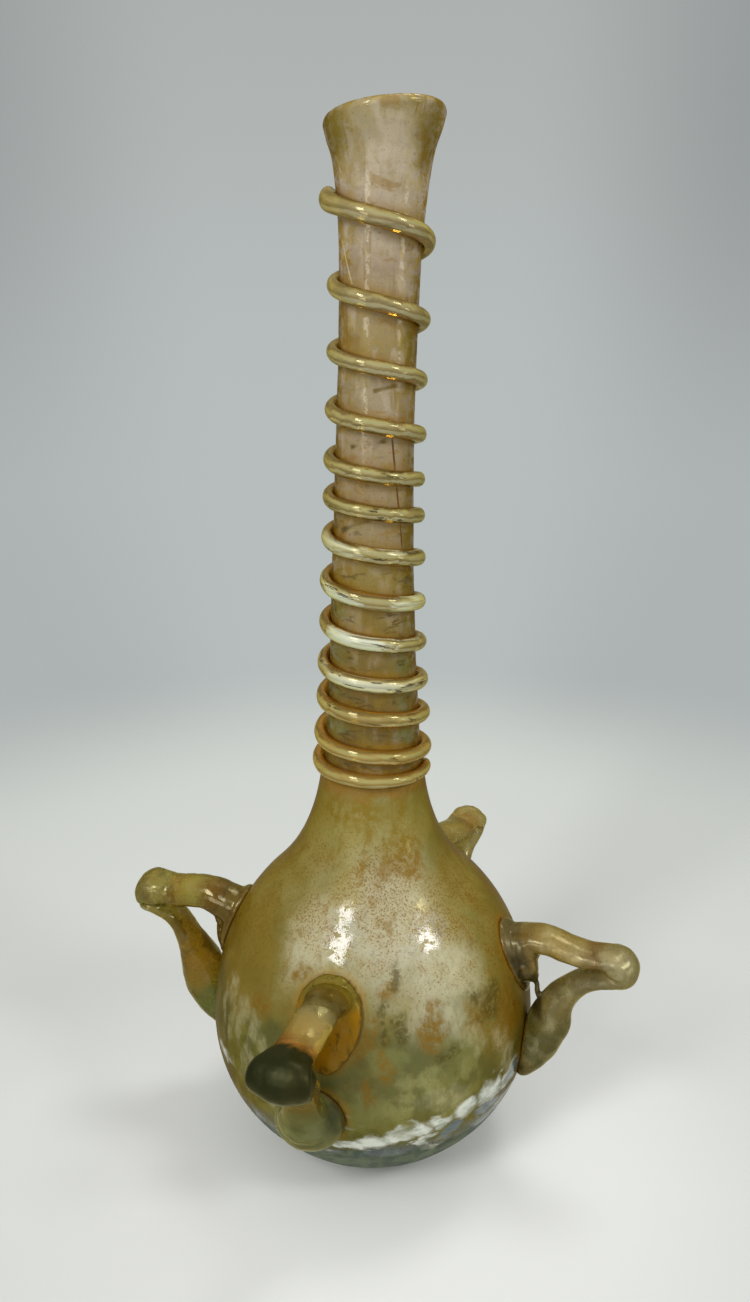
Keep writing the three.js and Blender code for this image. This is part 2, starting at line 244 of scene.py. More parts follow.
def moved_outline(points, distance):
    moved = []
    for i, point in enumerate(points):
        way = (points[min(i + 1, len(points) - 1)] - points[max(i - 1, 0)]).normalized()
        moved.append(Vector((point.x + way.y * distance, point.y - way.x * distance)))
    return moved


def whole_outline(size):
    """The section of the vessel from the middle of the base round the rim to the middle of the floor."""
    outer = outer_outline(size)
    above = [p for p in outer if p.y > size.belly_height]
    above = above[:-1:3] + above[-1:]
    inner = moved_outline(above, -size.wall)
    inner[-1].y = above[-1].y
    floor = size.kick_height + size.floor
    bowl = arc(
        (0, size.belly_height), size.body_radius - size.wall, size.belly_height - floor, -math.pi / 2, 0,
        BOWL_POINTS)
    kick = arc((0, 0), size.kick_radius, size.kick_height, math.pi / 2, 0, KICK_POINTS)
    half = (outer[-1].x - inner[-1].x) / 2
    lip = arc(((outer[-1].x + inner[-1].x) / 2, outer[-1].y), half, size.lip_rise, 0, math.pi, LIP_POINTS)
    kick[0].x = bowl[0].x = 0
    return kick + outer + lip[1:-1] + inner[::-1] + bowl[::-1]


class Wall:
    """The vessel's outer wall, to seat the trail and the handles on."""

    def __init__(self, size):
        self.size = size
        self.points = outer_outline(size)
        self.heights = [p.y for p in self.points]

    def radius(self, height):
        i = max(1, min(len(self.points) - 1, bisect.bisect_left(self.heights, height)))
        low, high = self.points[i - 1], self.points[i]
        share = max(0, min(1, (height - low.y) / (high.y - low.y)))
        return low.x + (high.x - low.x) * share

    def stray(self, angle, height):
        """How far the hand-blown wall strays from a true turning."""
        slow, quick = (
            noise.noise(facing(angle) * around + UP * (height / upwards + start))
            for around, upwards, start in (SLOW_STRAY, QUICK_STRAY))
        on_body = 1 - smooth(height, 0.075, 0.1)
        stands = smooth(height, 0.0, 0.012)
        return self.size.wobble * (slow * (NECK_STRAY + BODY_STRAY * on_body) + quick * QUICK_SHARE) * stands

    def bend(self, point):
        """Leans the neck and tilts the mouth."""
        size = self.size
        along = max(0, (point.z - size.bend_height) / (size.height - size.bend_height))
        lean = facing(size.bend_angle)
        skew = smooth(point.z, TILT_FROM, size.height - size.mouth_tilt)
        rise = size.mouth_tilt * point.dot(lean) + size.lip_pull * point.dot(facing(size.lip_angle))
        lifted = point + UP * (skew * rise / size.mouth_radius)
        return lifted + lean * (size.mouth_shift * along ** LEAN_POWER)


def as_object(name, shaped, *materials):
    """The shaped skin as an object in the scene."""
    mesh = bpy.data.meshes.new(name)
    shaped.to_mesh(mesh)
    shaped.free()
    for face in mesh.polygons:
        face.use_smooth = True
    for material in materials:
        mesh.materials.append(material)
    made = bpy.data.objects.new(name, mesh)
    bpy.context.scene.collection.objects.link(made)
    return made


def finish_piece(name, shaped, material, node):
    """Makes the piece from its shaped skin, and lets it ride in the node's place."""
    piece = as_object(name, shaped, material)
    piece["touches_wall"] = node != "vessel"
    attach(piece, "root")
    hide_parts(node)


def spin_outline(outline, steps, coarse=1):
    """Spins the outline once round, and divides the rings if the steps were wider. Each vertex notes its radius."""
    shaped = bmesh.new()
    radius = shaped.verts.layers.float.new("radius")
    verts = [shaped.verts.new((p.x, 0, p.y)) for p in outline]
    for vert, point in zip(verts, outline):
        vert[radius] = point.x
    edges = [shaped.edges.new(pair) for pair in zip(verts, verts[1:])]
    bmesh.ops.spin(
        shaped, geom=verts + edges, cent=(0, 0, 0), axis=UP, angle=2 * math.pi, steps=steps // coarse,
        use_merge=True)
    if coarse > 1:
        rings = [e for e in shaped.edges if abs(e.verts[0][radius] - e.verts[1][radius]) < NO_LENGTH
                 and abs(e.verts[0].co.z - e.verts[1].co.z) < NO_LENGTH]
        bmesh.ops.subdivide_edges(shaped, edges=rings, cuts=coarse - 1, use_grid_fill=True)
    bmesh.ops.remove_doubles(shaped, verts=shaped.verts, dist=SAME_PLACE)
    bmesh.ops.recalc_face_normals(shaped, faces=shaped.faces)
    return shaped


def neighbours():
    """The trail and the handles as one surface, to find how near the wall is to them."""
    points, faces = [], []
    for piece in bpy.context.scene.objects:
        if piece.get("touches_wall"):
            first = len(points)
            points += [v.co.copy() for v in piece.data.vertices]
            faces += [[first + i for i in face.vertices] for face in piece.data.polygons]
    return BVHTree.FromPolygons(points, faces) if faces else None


def blow_vessel(size):
    """Spins the outline once round, then strays and bends the wall."""
    wall = Wall(size)
    shaped = spin_outline(whole_outline(size), size.steps, COARSE)
    radius = shaped.verts.layers.float["radius"]
    nearby = neighbours()
    seat = shaped.verts.layers.float.new("seat")
    for vert in shaped.verts:
        flat = Vector((vert.co.x, vert.co.y, 0))
        if flat.length > SAME_PLACE:
            flat.normalize()
            shift = wall.stray(math.atan2(flat.y, flat.x), vert.co.z) * min(1, vert[radius] / STRAY_RADIUS)
            vert.co = flat * (vert[radius] + shift) + UP * vert.co.z
        vert.co = wall.bend(vert.co)
        found = nearby.find_nearest(vert.co, SEAT_REACH * MM) if nearby else None
        vert[seat] = found[3] / MM if found and found[3] is not None else SEAT_REACH
    return shaped


# The trail's thickness, as shares: more where it was started, less where it was pulled off.
START_SWELL, END_THINNING = 0.4, 0.2
# Turns over which the fat start thins, and over which the two ends are rounded from their blunt tips.
SWELL_TURNS, START_ROUNDING, END_ROUNDING, BLUNT_TIP = 0.22, 0.045, 0.05, 0.12
# Unevenness of the trail's thickness and of its rise: how much, how quick, and where in the noise it begins.
UNEVEN, UNEVEN_RISE = (0.09, 2.7, 1.3), (0.06, 3.1, 7.3)
# How far the trail's inner half is flattened against the neck.
INNER_HALF = 0.82


def trail_height(trail, turn):
    """Height of the trail after so many turns down the neck."""
    lead = 2 * TURN_HEIGHTS[0] - TURN_HEIGHTS[1]
    shares = [Vector((share, 0)) for share in (lead, *TURN_HEIGHTS)]
    place = along_spline(shares, (turn + 1) / (len(shares) - 1))
    return trail.bottom + (trail.top - trail.bottom) * place.x


def uneven(turn, much, quick, start):
    return much * noise.noise(Vector((turn * quick, start, 0)))


def trail_stations(trail, wall):
    """Where the trail runs: its middle, half depth, half rise, direction and turn at each step."""
    turns = len(TURN_HEIGHTS) - 2
    whole = trail.lead + turns + trail.tail
    count = round(whole * trail.steps / COARSE) * COARSE
    stations = []
    for i in range(count + 1):
        turn = -trail.lead + whole * i / count
        height = trail_height(trail, turn)
        angle = trail.front_angle + turn * 2 * math.pi
        start = 1 - smooth(turn, -trail.lead, SWELL_TURNS - trail.lead)
        end = smooth(turn, turns, turns + trail.tail)
        swell = 1 + START_SWELL * start - END_THINNING * end + uneven(turn, *UNEVEN)
        tip = min(1, BLUNT_TIP + (turn + trail.lead) / START_ROUNDING,
                  BLUNT_TIP + (turns + trail.tail - turn) / END_ROUNDING)
        close = math.sqrt(max(0, 1 - (1 - tip) ** 2))
        depth = trail.depth / 2 * swell * close
        rise = trail.rise / 2 * swell * close * (1 + uneven(turn, *UNEVEN_RISE))
        out = wall.radius(height) + wall.stray(angle, height) + depth - trail.sink
        middle = Vector((out * math.cos(angle), out * math.sin(angle), height))
        stations.append((wall.bend(middle), depth, rise, angle, turn))
    return stations


def wind_trail(trail, wall):
    """Spins a small ring of glass down and round the neck, divides it, and lays every turn in its place."""
    stations = trail_stations(trail, wall)
    steps = len(stations) - 1
    shaped = bmesh.new()
    side = shaped.verts.layers.float.new("side")
    place = shaped.verts.layers.float.new("place")
    ring = bmesh.ops.create_circle(shaped, cap_ends=False, radius=trail.rise / 2, segments=trail.sides)["verts"]
    for i, vert in enumerate(ring):
        vert[side] = i
    edges = list({edge for vert in ring for edge in vert.link_edges})
    bmesh.ops.rotate(shaped, verts=ring, cent=(0, 0, 0), matrix=Matrix.Rotation(math.pi / 2, 3, "X"))
    bmesh.ops.translate(shaped, verts=ring, vec=(wall.size.neck_radius, 0, trail.top))
    drop = (0, 0, (trail.bottom - trail.top) / steps * COARSE)
    bmesh.ops.spin(
        shaped, geom=ring + edges, cent=(0, 0, 0), axis=UP, dvec=drop,
        angle=stations[-1][3] - stations[0][3], steps=steps // COARSE)
    shaped.verts.ensure_lookup_table()
    for i, vert in enumerate(shaped.verts):
        vert[place] = i // trail.sides * COARSE
    lengthwise = [e for e in shaped.edges if e.verts[0][place] != e.verts[1][place]]
    bmesh.ops.subdivide_edges(shaped, edges=lengthwise, cuts=COARSE - 1, use_grid_fill=True)
    along = shaped.verts.layers.float.new("turns")
    flow = shaped.verts.layers.float_vector.new("flow")
    for vert in shaped.verts:
        here = round(vert[place])
        middle, depth, rise, angle, turn = stations[here]
        way = (stations[min(here + 1, steps)][0] - stations[max(here - 1, 0)][0]).normalized()
        across = way.cross(facing(angle)).normalized()
        out = across.cross(way)
        turn_round = 2 * math.pi * round(vert[side]) / trail.sides
        reach, lift = math.cos(turn_round), math.sin(turn_round)
        flattened = INNER_HALF if reach < 0 else 1
        vert.co = middle + out * depth * reach * flattened + across * rise * lift
        vert[along] = turn
        vert[flow] = (turn * 2 * math.pi * (middle.xy.length + depth) / MM, reach, lift)
    ends = [edge for edge in shaped.edges if edge.is_boundary]
    bmesh.ops.holes_fill(shaped, edges=ends, sides=trail.sides)
    bmesh.ops.recalc_face_normals(shaped, faces=shaped.faces)
    return shaped


# The four handles, each in its own upright plane, in millimetres. A rod's stations are
# (outwards from the axis, across, up, thickness in the plane, width across), and a ball is
# (outwards, across, up, depth, width, rise). A pad has its top, bottom, width and thickness, a crease the
# line (outwards, up) along which the folded rod meets itself.
HANDLES = {
    "handle_right": {
        "angle": 0,
        "rod": (
            (37.4, -1.8, 25, 4.4, 7.5), (39.8, -1.7, 30, 8, 10), (41.8, -1.6, 34.6, 9.4, 10.6),
            (43.2, -1.3, 39, 9.8, 10), (44.4, -1, 43.2, 8, 8.8), (46.9, -0.6, 47, 6.2, 8), (50, -0.3, 49.8, 5, 8),
            (53.8, -0.1, 51.6, 4.2, 8.6), (57.3, 0, 52.6, 3.8, 9.4), (59.8, 0, 54.8, 3.4, 9.8),
            (57.4, 0, 57, 4, 9.6), (53.6, 0.1, 56.6, 4.6, 9), (50, 0.3, 56.3, 5.2, 8.8), (46.2, 0.7, 56.7, 5.6, 8.8),
            (42, 1.2, 57.5, 6.1, 8.8), (37.6, 1.5, 57.2, 6.4, 9.2), (32.4, 1.7, 55.4, 6.8, 10)),
        "balls": (
            (57.8, 0, 54.7, 8.6, 10.2, 9.4), (36.2, 0.2, 54.6, 7.6, 8.4, 9), (37, -1.6, 51.4, 6.4, 5.4, 6.4),
            (36.4, 2, 50.4, 6, 5, 7), (38.6, -1.4, 49.6, 3.4, 3.4, 3.2)),
        "pad": (60.2, 43.6, 12, 5),
        "spur": ((38.6, -1.4, 50), (39.9, -1.6, 47.8), (40.1, -1.6, 45.6), (41, -1.4, 43.4)),
        "crease": ((50.6, 53.4), (54.4, 54.4), (58.6, 53.6)),
    },
    "handle_front": {
        "angle": -88.6,
        "rod": (
            (38, -1.8, 27, 9, 12), (41.4, -1.7, 31.6, 10, 12), (43.6, -1.4, 36.6, 8.4, 8.6),
            (45.6, -0.9, 41.2, 6.6, 7.4), (48.4, -0.5, 45.6, 5.2, 7.6), (52, -0.2, 48.6, 4.6, 9),
            (56, 0, 50.6, 4.6, 12), (58.8, 0, 53.6, 4.8, 13.6), (57.4, 0, 56.4, 4.6, 12.8),
            (54, 0.1, 56.4, 4.6, 10.4), (50.6, 0.3, 55.8, 5, 9.2), (46.4, 0.7, 56.2, 5.6, 8.8),
            (42, 1.2, 57.6, 6, 9), (37.6, 1.5, 57.6, 6.4, 9.8), (32.4, 1.7, 55.6, 7, 10.4)),
        "balls": (
            (56.5, 0, 53.8, 9.4, 13.6, 9.6), (38, -1.8, 29.8, 14.6, 15.6, 14), (42.4, -0.2, 40, 6, 4.4, 4.4),
            (41.8, -3.6, 38.2, 5.4, 3.6, 4.6)),
        "pad": (60, 40.6, 14.6, 6),
        "crease": ((50.6, 52.2), (53.6, 53), (56.6, 53)),
        "ledge": 41.4,
    },
    "handle_back": {
        "angle": 81,
        "rod": (
            (37.4, -1.8, 25, 4.4, 7.5), (39.8, -1.7, 30, 8, 10), (41.8, -1.6, 34.6, 9.4, 10.6),
            (43.2, -1.3, 39.2, 9.8, 10), (44.8, -1, 43.6, 7.8, 8.8), (47.6, -0.6, 47.6, 5.8, 8),
            (50.6, -0.3, 50.6, 4.8, 8), (54, -0.1, 52.2, 4.2, 8.4), (57.4, 0, 53.4, 3.8, 8.8),
            (59.8, 0, 55.8, 3.4, 9.2), (57.8, 0, 57.8, 4, 9), (54, 0.1, 57.4, 4.6, 8.8), (50.4, 0.3, 57, 5.2, 8.8),
            (46.2, 0.7, 57.4, 5.8, 8.8), (42, 1.2, 58, 6.2, 8.8), (37.6, 1.5, 57.6, 6.4, 9.2),
            (32.4, 1.7, 55.6, 7, 10)),
        "balls": (
            (57.8, 0, 55.6, 8.4, 9.6, 9), (37.6, 0.4, 55, 7, 8.6, 9), (38.4, 0, 50.6, 5.4, 7, 6)),
        "pad": (60.2, 43.6, 12, 5),
        "crease": ((51, 54.2), (54.8, 55.2), (58.8, 54.4)),
    },
    "handle_left": {
        "angle": 185,
        "rod": (
            (37.5, -1.8, 20, 6.2, 8), (40.4, -1.7, 25.4, 10.4, 11), (43.4, -1.5, 31, 12, 11.4),
            (45.2, -1.2, 37, 10.2, 10), (47.4, -0.8, 42.7, 6.5, 8.2), (49.3, -0.4, 47.1, 4.8, 8),
            (51.6, -0.2, 50.1, 3.8, 8.4), (54.6, 0, 51.9, 3.1, 9.6), (57.6, 0, 53.5, 3.2, 10.4),
            (57.6, 0, 56.6, 5.6, 10.8), (54.4, 0.1, 57, 7.2, 10.4), (50.6, 0.3, 56.4, 7.8, 9.2),
            (46.2, 0.7, 57.1, 7.8, 9), (41.8, 1.2, 57.7, 8, 9.2), (37.8, 1.5, 56.8, 8.8, 9.6),
            (32.4, 1.7, 54.4, 9.6, 10)),
        "balls": (
            (55.6, 0, 56, 9, 10.8, 10), (36.8, 1, 53.6, 5.6, 8.4, 10), (37.2, 0.8, 47.6, 4.6, 5.4, 10)),
        "pad": (60.2, 41.6, 12, 5),
        "crease": ((50.4, 53.2), (54.4, 53.4), (59.2, 53.6)),
    },
}
# How deep a handle reaches into the wall, as a share of its thickness.
EMBEDDED = 0.45
# Thickness of the thin spur of glass left between a pad and its strut, in millimetres.
SPUR = 1.4
# Steps along a rod, a spur and a pad, those round and up a ball, and how often the fused skin is smoothed.
ROD_STEPS, SPUR_STEPS, PAD_STEPS, BALL_STEPS, SMOOTHINGS = 70, 20, 48, (32, 20), 5
# How far to the side of its handle a pad lies, in millimetres.
PAD_SIDE = 1.2
# The crease, in millimetres: its depth and width, how it fades in and out beyond its ends, and how far, over what
# length and what width it waves.
CREASE_DEPTH, CREASE_WIDTH, CREASE_IN, CREASE_OUT = 0.7, 0.5, (-0.8, 0.6), (-2, 1)
WAVE, WAVE_LENGTH, WAVE_WIDTH = 0.35, 1.4, 2.5
# The ledge: its depth, slant and soft edge, and over which heights and reaches it begins.
LEDGE_DEPTH, LEDGE_SLANT, LEDGE_EDGE, LEDGE_HEIGHTS, LEDGE_REACHES = 0.6, 0.12, 0.7, (48, 53), (36, 38.5)
# (length, depth) of the skin's ripples.
RIPPLES = ((3.2, 0.16), (1.3, 0.05))
# Pad: down, thickness and width shares from its top to its drawn-out tail.
PAD = (
    (0, 0.25, 0.3), (0.07, 0.55, 0.62), (0.2, 0.85, 0.9), (0.42, 1, 1), (0.7, 0.8, 0.82), (0.88, 0.55, 0.5),
    (0.96, 0.36, 0.3), (1, 0.25, 0.16))


def rod_places(stations, count):
    """Matrix, half thickness and half width at even steps along a rod."""
    middles = [Vector(s[:3]) for s in stations]
    sizes = [Vector(s[3:]) for s in stations]
    places = []
    for i in range(count + 1):
        here = along_spline(middles, i / count)
        ahead = along_spline(middles, min(1, (i + 0.5) / count))
        behind = along_spline(middles, max(0, (i - 0.5) / count))
        way = (ahead - behind).normalized()
        out = Vector((0, 1, 0)).cross(way).normalized()
        across = way.cross(out)
        size = along_spline(sizes, i / count) / 2
        turn = Matrix((out, across, way)).transposed().to_4x4()
        places.append((Matrix.Translation(here) @ turn, size))
    return places


def draw_rod(shaped, stations, count, sides):
    """Draws a ring of soft glass along the stations, and closes both ends."""
    ring = bmesh.ops.create_circle(shaped, cap_ends=False, radius=1, segments=sides)["verts"]
    first = ring
    before = Matrix.Identity(4)
    for matrix, size in rod_places(stations, count):
        here = matrix @ Matrix.Diagonal((size.x, size.y, 1, 1))
        if before != Matrix.Identity(4):
            edges = [e for e in {e for v in ring for e in v.link_edges} if all(v in ring for v in e.verts)]
            drawn = bmesh.ops.extrude_edge_only(shaped, edges=edges)["geom"]
            ring = [g for g in drawn if isinstance(g, bmesh.types.BMVert)]
        bmesh.ops.transform(shaped, matrix=here @ before.inverted(), verts=ring)
        before = here
    for end in (first, ring):
        edges = [e for e in {e for v in end for e in v.link_edges} if e.is_boundary]
        bmesh.ops.holes_fill(shaped, edges=edges, sides=sides)


def press_ball(shaped, place, depth, width, rise):
    """Adds a gather of glass, pressed oval."""
    matrix = Matrix.Translation(place) @ Matrix.Diagonal((depth / 2, width / 2, rise / 2, 1))
    around, upwards = BALL_STEPS
    bmesh.ops.create_uvsphere(shaped, u_segments=around, v_segments=upwards, radius=1, matrix=matrix)


def fused(shaped, voxel):
    """The parts run together into one skin, as soft glass does."""
    holder = as_object("fused", shaped)
    remesh = holder.modifiers.new("run together", "REMESH")
    remesh.mode = "VOXEL"
    remesh.voxel_size = voxel
    ready = holder.evaluated_get(bpy.context.evaluated_depsgraph_get())
    joined = bmesh.new()
    joined.from_mesh(ready.to_mesh())
    ready.to_mesh_clear()
    bpy.data.meshes.remove(holder.data)
    return joined


def fold_handle(one, size, wall):
    """Drops the blob, draws the rod out and folds it back, presses the pad, and fuses them."""
    shaped = bmesh.new()
    draw_rod(shaped, one["rod"], ROD_STEPS, size.sides)
    for ball in one["balls"]:
        press_ball(shaped, Vector(ball[:3]), *ball[3:])
    if "spur" in one:
        draw_rod(shaped, [(*place, SPUR, SPUR) for place in one["spur"]], SPUR_STEPS, size.sides)
    top, bottom, wide, thick = one["pad"]
    pad = []
    for down, share, width_share in PAD:
        height = top + (bottom - top) * down
        pad.append((wall.radius(height * MM) / MM, PAD_SIDE, height, thick * share, wide * width_share))
    draw_rod(shaped, pad, PAD_STEPS, size.sides)
    bmesh.ops.recalc_face_normals(shaped, faces=shaped.faces)
    bmesh.ops.scale(shaped, vec=(MM, MM, MM), verts=shaped.verts)
    joined = fused(shaped, size.voxel)
    for _ in range(SMOOTHINGS):
        bmesh.ops.smooth_vert(
            joined, verts=joined.verts, factor=0.5, use_axis_x=True, use_axis_y=True, use_axis_z=True)
    keep_largest(joined)
    mark_flow(joined, one, wall)
    press_crease(joined, one)
    rest_on_wall(joined, wall)
    turn = Matrix.Rotation(math.radians(one["angle"]), 3, "Z")
    bmesh.ops.rotate(joined, verts=joined.verts, cent=(0, 0, 0), matrix=turn)
    return joined


def keep_largest(joined):
    """Removes the small hidden skins that the fusing left inside."""
    left = set(joined.verts)
    islands = []
    while left:
        island = [left.pop()]
        for vert in island:
            near = {edge.other_vert(vert) for edge in vert.link_edges} & left
            left -= near
            island += near
        islands.append(island)
    islands.sort(key=len)
    inner = [vert for island in islands[:-1] for vert in island]
    bmesh.ops.delete(joined, geom=inner, context="VERTS")


def rest_on_wall(joined, wall):
    """Keeps the handle out of the hollow: it ends within the thickness of the wall."""
    for vert in joined.verts:
        least = wall.radius(vert.co.z) - wall.size.wall * EMBEDDED
        out = math.hypot(vert.co.x, vert.co.y)
        if out < least:
            vert.co.x *= least / out
            vert.co.y *= least / out


def press_crease(joined, one):
    """Sinks the line along which the folded rod meets itself, and ripples the skin a little."""
    fold = joined.verts.layers.float["fold"]
    joined.normal_update()
    moves = []
    for vert in joined.verts:
        ripple = sum(noise.noise(vert.co / (long * MM)) * deep for long, deep in RIPPLES)
        ledge = 0.0
        if "ledge" in one:
            out, side, up = vert.co / MM
            ledge = 1 - smooth(out + side * LEDGE_SLANT, one["ledge"], one["ledge"] + LEDGE_EDGE)
            ledge *= smooth(up, *LEDGE_HEIGHTS) * smooth(out, *LEDGE_REACHES)
        moves.append(vert.normal * (ripple - CREASE_DEPTH * vert[fold] - LEDGE_DEPTH * ledge) * MM)
    for vert, move in zip(joined.verts, moves):
        vert.co += move


def crease_share(point, crease):
    """How near a point of the handle is to the crease: 1 on it, 0 away from it."""
    out, up = point.x / MM, point.z / MM
    start, middle, end = crease
    fade_in = smooth(out, *(start[0] + edge for edge in CREASE_IN))
    fade_out = 1 - smooth(out, *(end[0] + edge for edge in CREASE_OUT))
    left, right = (start, middle) if out < middle[0] else (middle, end)
    share = (out - left[0]) / (right[0] - left[0])
    wave = WAVE * noise.noise(Vector((out / WAVE_LENGTH, point.y / MM / WAVE_WIDTH, 4)))
    line = left[1] + (right[1] - left[1]) * share + wave
    return fade_in * fade_out * math.exp(-((up - line) / CREASE_WIDTH) ** 2)


def mark_flow(joined, one, wall):
    """Notes on every vertex how far along the rod it is, and on which side of it."""
    places = rod_places(one["rod"], 2 * ROD_STEPS)
    tree = kdtree.KDTree(len(places))
    for i, (matrix, _) in enumerate(places):
        tree.insert(matrix.translation * MM, i)
    tree.balance()
    run = [0.0]
    for (a, _), (b, _) in zip(places, places[1:]):
        run.append(run[-1] + (b.translation - a.translation).length)
    flow = joined.verts.layers.float_vector.new("flow")
    along = joined.verts.layers.float.new("turns")
    seat = joined.verts.layers.float.new("seat")
    fold = joined.verts.layers.float.new("fold")
    for vert in joined.verts:
        _, i, _ = tree.find(vert.co)
        matrix, _ = places[i]
        vert[seat] = (math.hypot(vert.co.x, vert.co.y) - wall.radius(vert.co.z)) / MM
        vert[fold] = crease_share(vert.co, one["crease"])
        local = matrix.inverted() @ (vert.co / MM)
        side = Vector((local.x, local.y)).normalized()
        vert[flow] = (run[i], side.x, side.y)
        vert[along] = run[i] / run[-1]


# Finishes

class Value:
    """A node's output, to be reckoned with like a number."""

    def __init__(self, recipe, socket):
        self.recipe = recipe
        self.socket = socket

    def __mul__(self, other):
        return self.recipe.sum("MULTIPLY", self, other)

    def __add__(self, other):
        return self.recipe.sum("ADD", self, other)

    def __sub__(self, other):
        return self.recipe.sum("SUBTRACT", self, other)

    def __rsub__(self, other):
        return self.recipe.sum("SUBTRACT", other, self)

    def __abs__(self):
        return self.recipe.sum("ABSOLUTE", self)

    def step(self, low, high, below=0.0, above=1.0):
        """A soft step of the value from low to high."""
        return self.recipe.add(
            "ShaderNodeMapRange", {"interpolation_type": "SMOOTHSTEP"}, (self, low, high, below, above))


class Recipe:
    """One material's nodes, and the tone that has been laid so far. Colours may be written as hex digits."""

    def __init__(self, name):
        self.material = bpy.data.materials.new(name)
        self.material.use_nodes = True
        self.tree = self.material.node_tree
        self.tree.nodes.clear()
        where = self.add("ShaderNodeTexCoord", out="Object")
        self.place = self.vector("MULTIPLY", where, (1 / MM, 1 / MM, 1 / MM))
        self.warped = self.place
        self.tone = None

    def node(self, kind, settings=None, first=(), **sockets):
        """A new node with these settings, its first sockets and its named sockets fed."""
        node = self.tree.nodes.new(kind)
        for name, value in (settings or {}).items():
            setattr(node, name, value)
        for socket, value in zip(node.inputs, first):
            self.feed(socket, value)
        for name, value in sockets.items():
            self.feed(node.inputs[name.replace("_", " ")], value)
        return node

    def add(self, *node, out=0, **sockets):
        """The same, handing back one of its outputs."""
        return Value(self, self.node(*node, **sockets).outputs[out])

    def feed(self, socket, value):
        if isinstance(value, Value):
            self.tree.links.new(value.socket, socket)
            return
        if isinstance(value, str):
            value = paint(value)
        socket.default_value = (*value[:3], 1) if socket.type == "RGBA" else value

    def vector(self, operation, first, second=(0, 0, 0)):
        out = "Value" if operation in ("LENGTH", "DOT_PRODUCT") else "Vector"
        return self.add("ShaderNodeVectorMath", {"operation": operation}, (first, second), out=out)

    def sum(self, operation, first, second=0.0):
        return self.add("ShaderNodeMath", {"operation": operation}, (first, second))

    def most(self, *values):
        whole = values[0]
        for value in values[1:]:
            whole = self.sum("MAXIMUM", whole, value)
        return whole

    def parts(self, vector):
        return [Value(self, part) for part in self.node("ShaderNodeSeparateXYZ", Vector=vector).outputs]

    def alike(self, value):
        """The value in all three parts of a vector."""
        return self.add("ShaderNodeCombineXYZ", None, (value, value, value))

    def noise(self, where, stretch, size, detail, rough, twist=0.0, out="Fac"):
        where = self.vector("MULTIPLY", where, tuple(s / size for s in stretch))
        return self.add(
            "ShaderNodeTexNoise", out=out, Vector=where, Scale=1.0, Detail=detail, Roughness=rough, Distortion=twist)

    def cloud(self, size, detail=3.0, rough=0.55, level=1, upright=1, **more):
        """Cloudy noise with features about so many millimetres wide, made narrower level or upright."""
        return self.noise(self.place, (level, level, upright), size, detail, rough, **more)

    def streaks(self, size, detail=3.0, rough=0.55, along=1, across=1, **more):
        """The same on a drawn rod, made narrower along or across it."""
        return self.noise(self.note("flow", "Vector"), (along, across, across), size, detail, rough, **more)

    def spot(self, patch, soft):
        """A soft-edged patch from its middle and half sizes: 1 within it, 0 outside."""
        away = self.vector("SUBTRACT", self.warped, patch[:3])
        scaled = self.vector("MULTIPLY", away, tuple(1 / half for half in patch[3:]))
        return self.vector("LENGTH", scaled).step(1 + soft, 1 - soft)

    def spots(self, patches, soft=0.5):
        return self.most(*(self.spot(patch, soft) for patch in patches))

    def ragged(self, *frays):
        """The place shaken by clouds of (size, reach), so that the edges of patches are ragged."""
        place = self.place
        for size, reach in frays:
            shake = self.vector("SUBTRACT", self.cloud(size, 2, out="Color"), (0.5, 0.5, 0.5))
            place = self.vector("ADD", place, self.vector("MULTIPLY", shake, (reach, reach, reach)))
        return place

    def ramp(self, value, stops):
        """Colours that follow one another as the value grows: (value, colour) stops."""
        node = self.node("ShaderNodeValToRGB", Fac=value)
        elements = node.color_ramp.elements
        while len(elements) < len(stops):
            elements.new(0.5)
        for element, (place, code) in zip(elements, stops):
            element.position = place
            element.color = (*paint(code), 1)
        return Value(self, node.outputs["Color"])

    def blend(self, share, first, second):
        node = self.node("ShaderNodeMix", {"data_type": "RGBA"}, (share,))
        self.feed(node.inputs[6], first)
        self.feed(node.inputs[7], second)
        return Value(self, node.outputs[2])

    def lay(self, share, tone):
        """Lays another tone over this share of what has been laid so far."""
        self.tone = self.blend(share, self.tone, tone)

    def note(self, name, out="Fac"):
        """What the piece has noted on its vertices under this name."""
        return self.add("ShaderNodeAttribute", {"attribute_name": name}, out=out)

    def under_coat(self, tint, coat=1.0):
        """The tone, made paler so that it looks as written once seen straight through the amber coat."""
        return self.vector("DIVIDE", self.tone, self.blend(coat, (1, 1, 1), tint))

    def finished(self, surface):
        self.node("ShaderNodeOutputMaterial", Surface=surface)
        return self.material

    def glass(self, tint, relief, depth, strength, **sockets):
        """The finish itself, under an amber coat, with relief so many millimetres deep."""
        bump = self.add("ShaderNodeBump", Height=relief, Distance=depth * MM, Strength=strength)
        return self.finished(self.add(
            "ShaderNodeBsdfPrincipled", Normal=bump, Coat_IOR=COAT_IOR, Coat_Tint=tint, **sockets))

    def rod_glass(self, clear, *relief, **sockets):
        """Drawn glass, clear for this share: its tone is paler, as what lies behind it is darker than light."""
        left = 1 - clear * DARKER_BEHIND
        tone = self.vector("DIVIDE", self.under_coat(ROD_TINT), self.alike(left))
        tone = self.vector("MINIMUM", tone, (PALEST, PALEST, PALEST))
        return self.glass(
            ROD_TINT, *relief, Base_Color=tone, Transmission_Weight=clear, Coat_Weight=1.0, Coat_Roughness=0.2,
            **sockets)


# Amber of the glass itself, lying over the weathering: it darkens and yellows the limbs.
COAT_TINT = paint("e2d38e")
# The same on the thinner trail and handles.
ROD_TINT = paint("efe8bc")
COAT_IOR = 1.05
# How much darker than light the things behind clear glass are, and the palest that its tone can be.
DARKER_BEHIND, PALEST = 0.55, 0.93
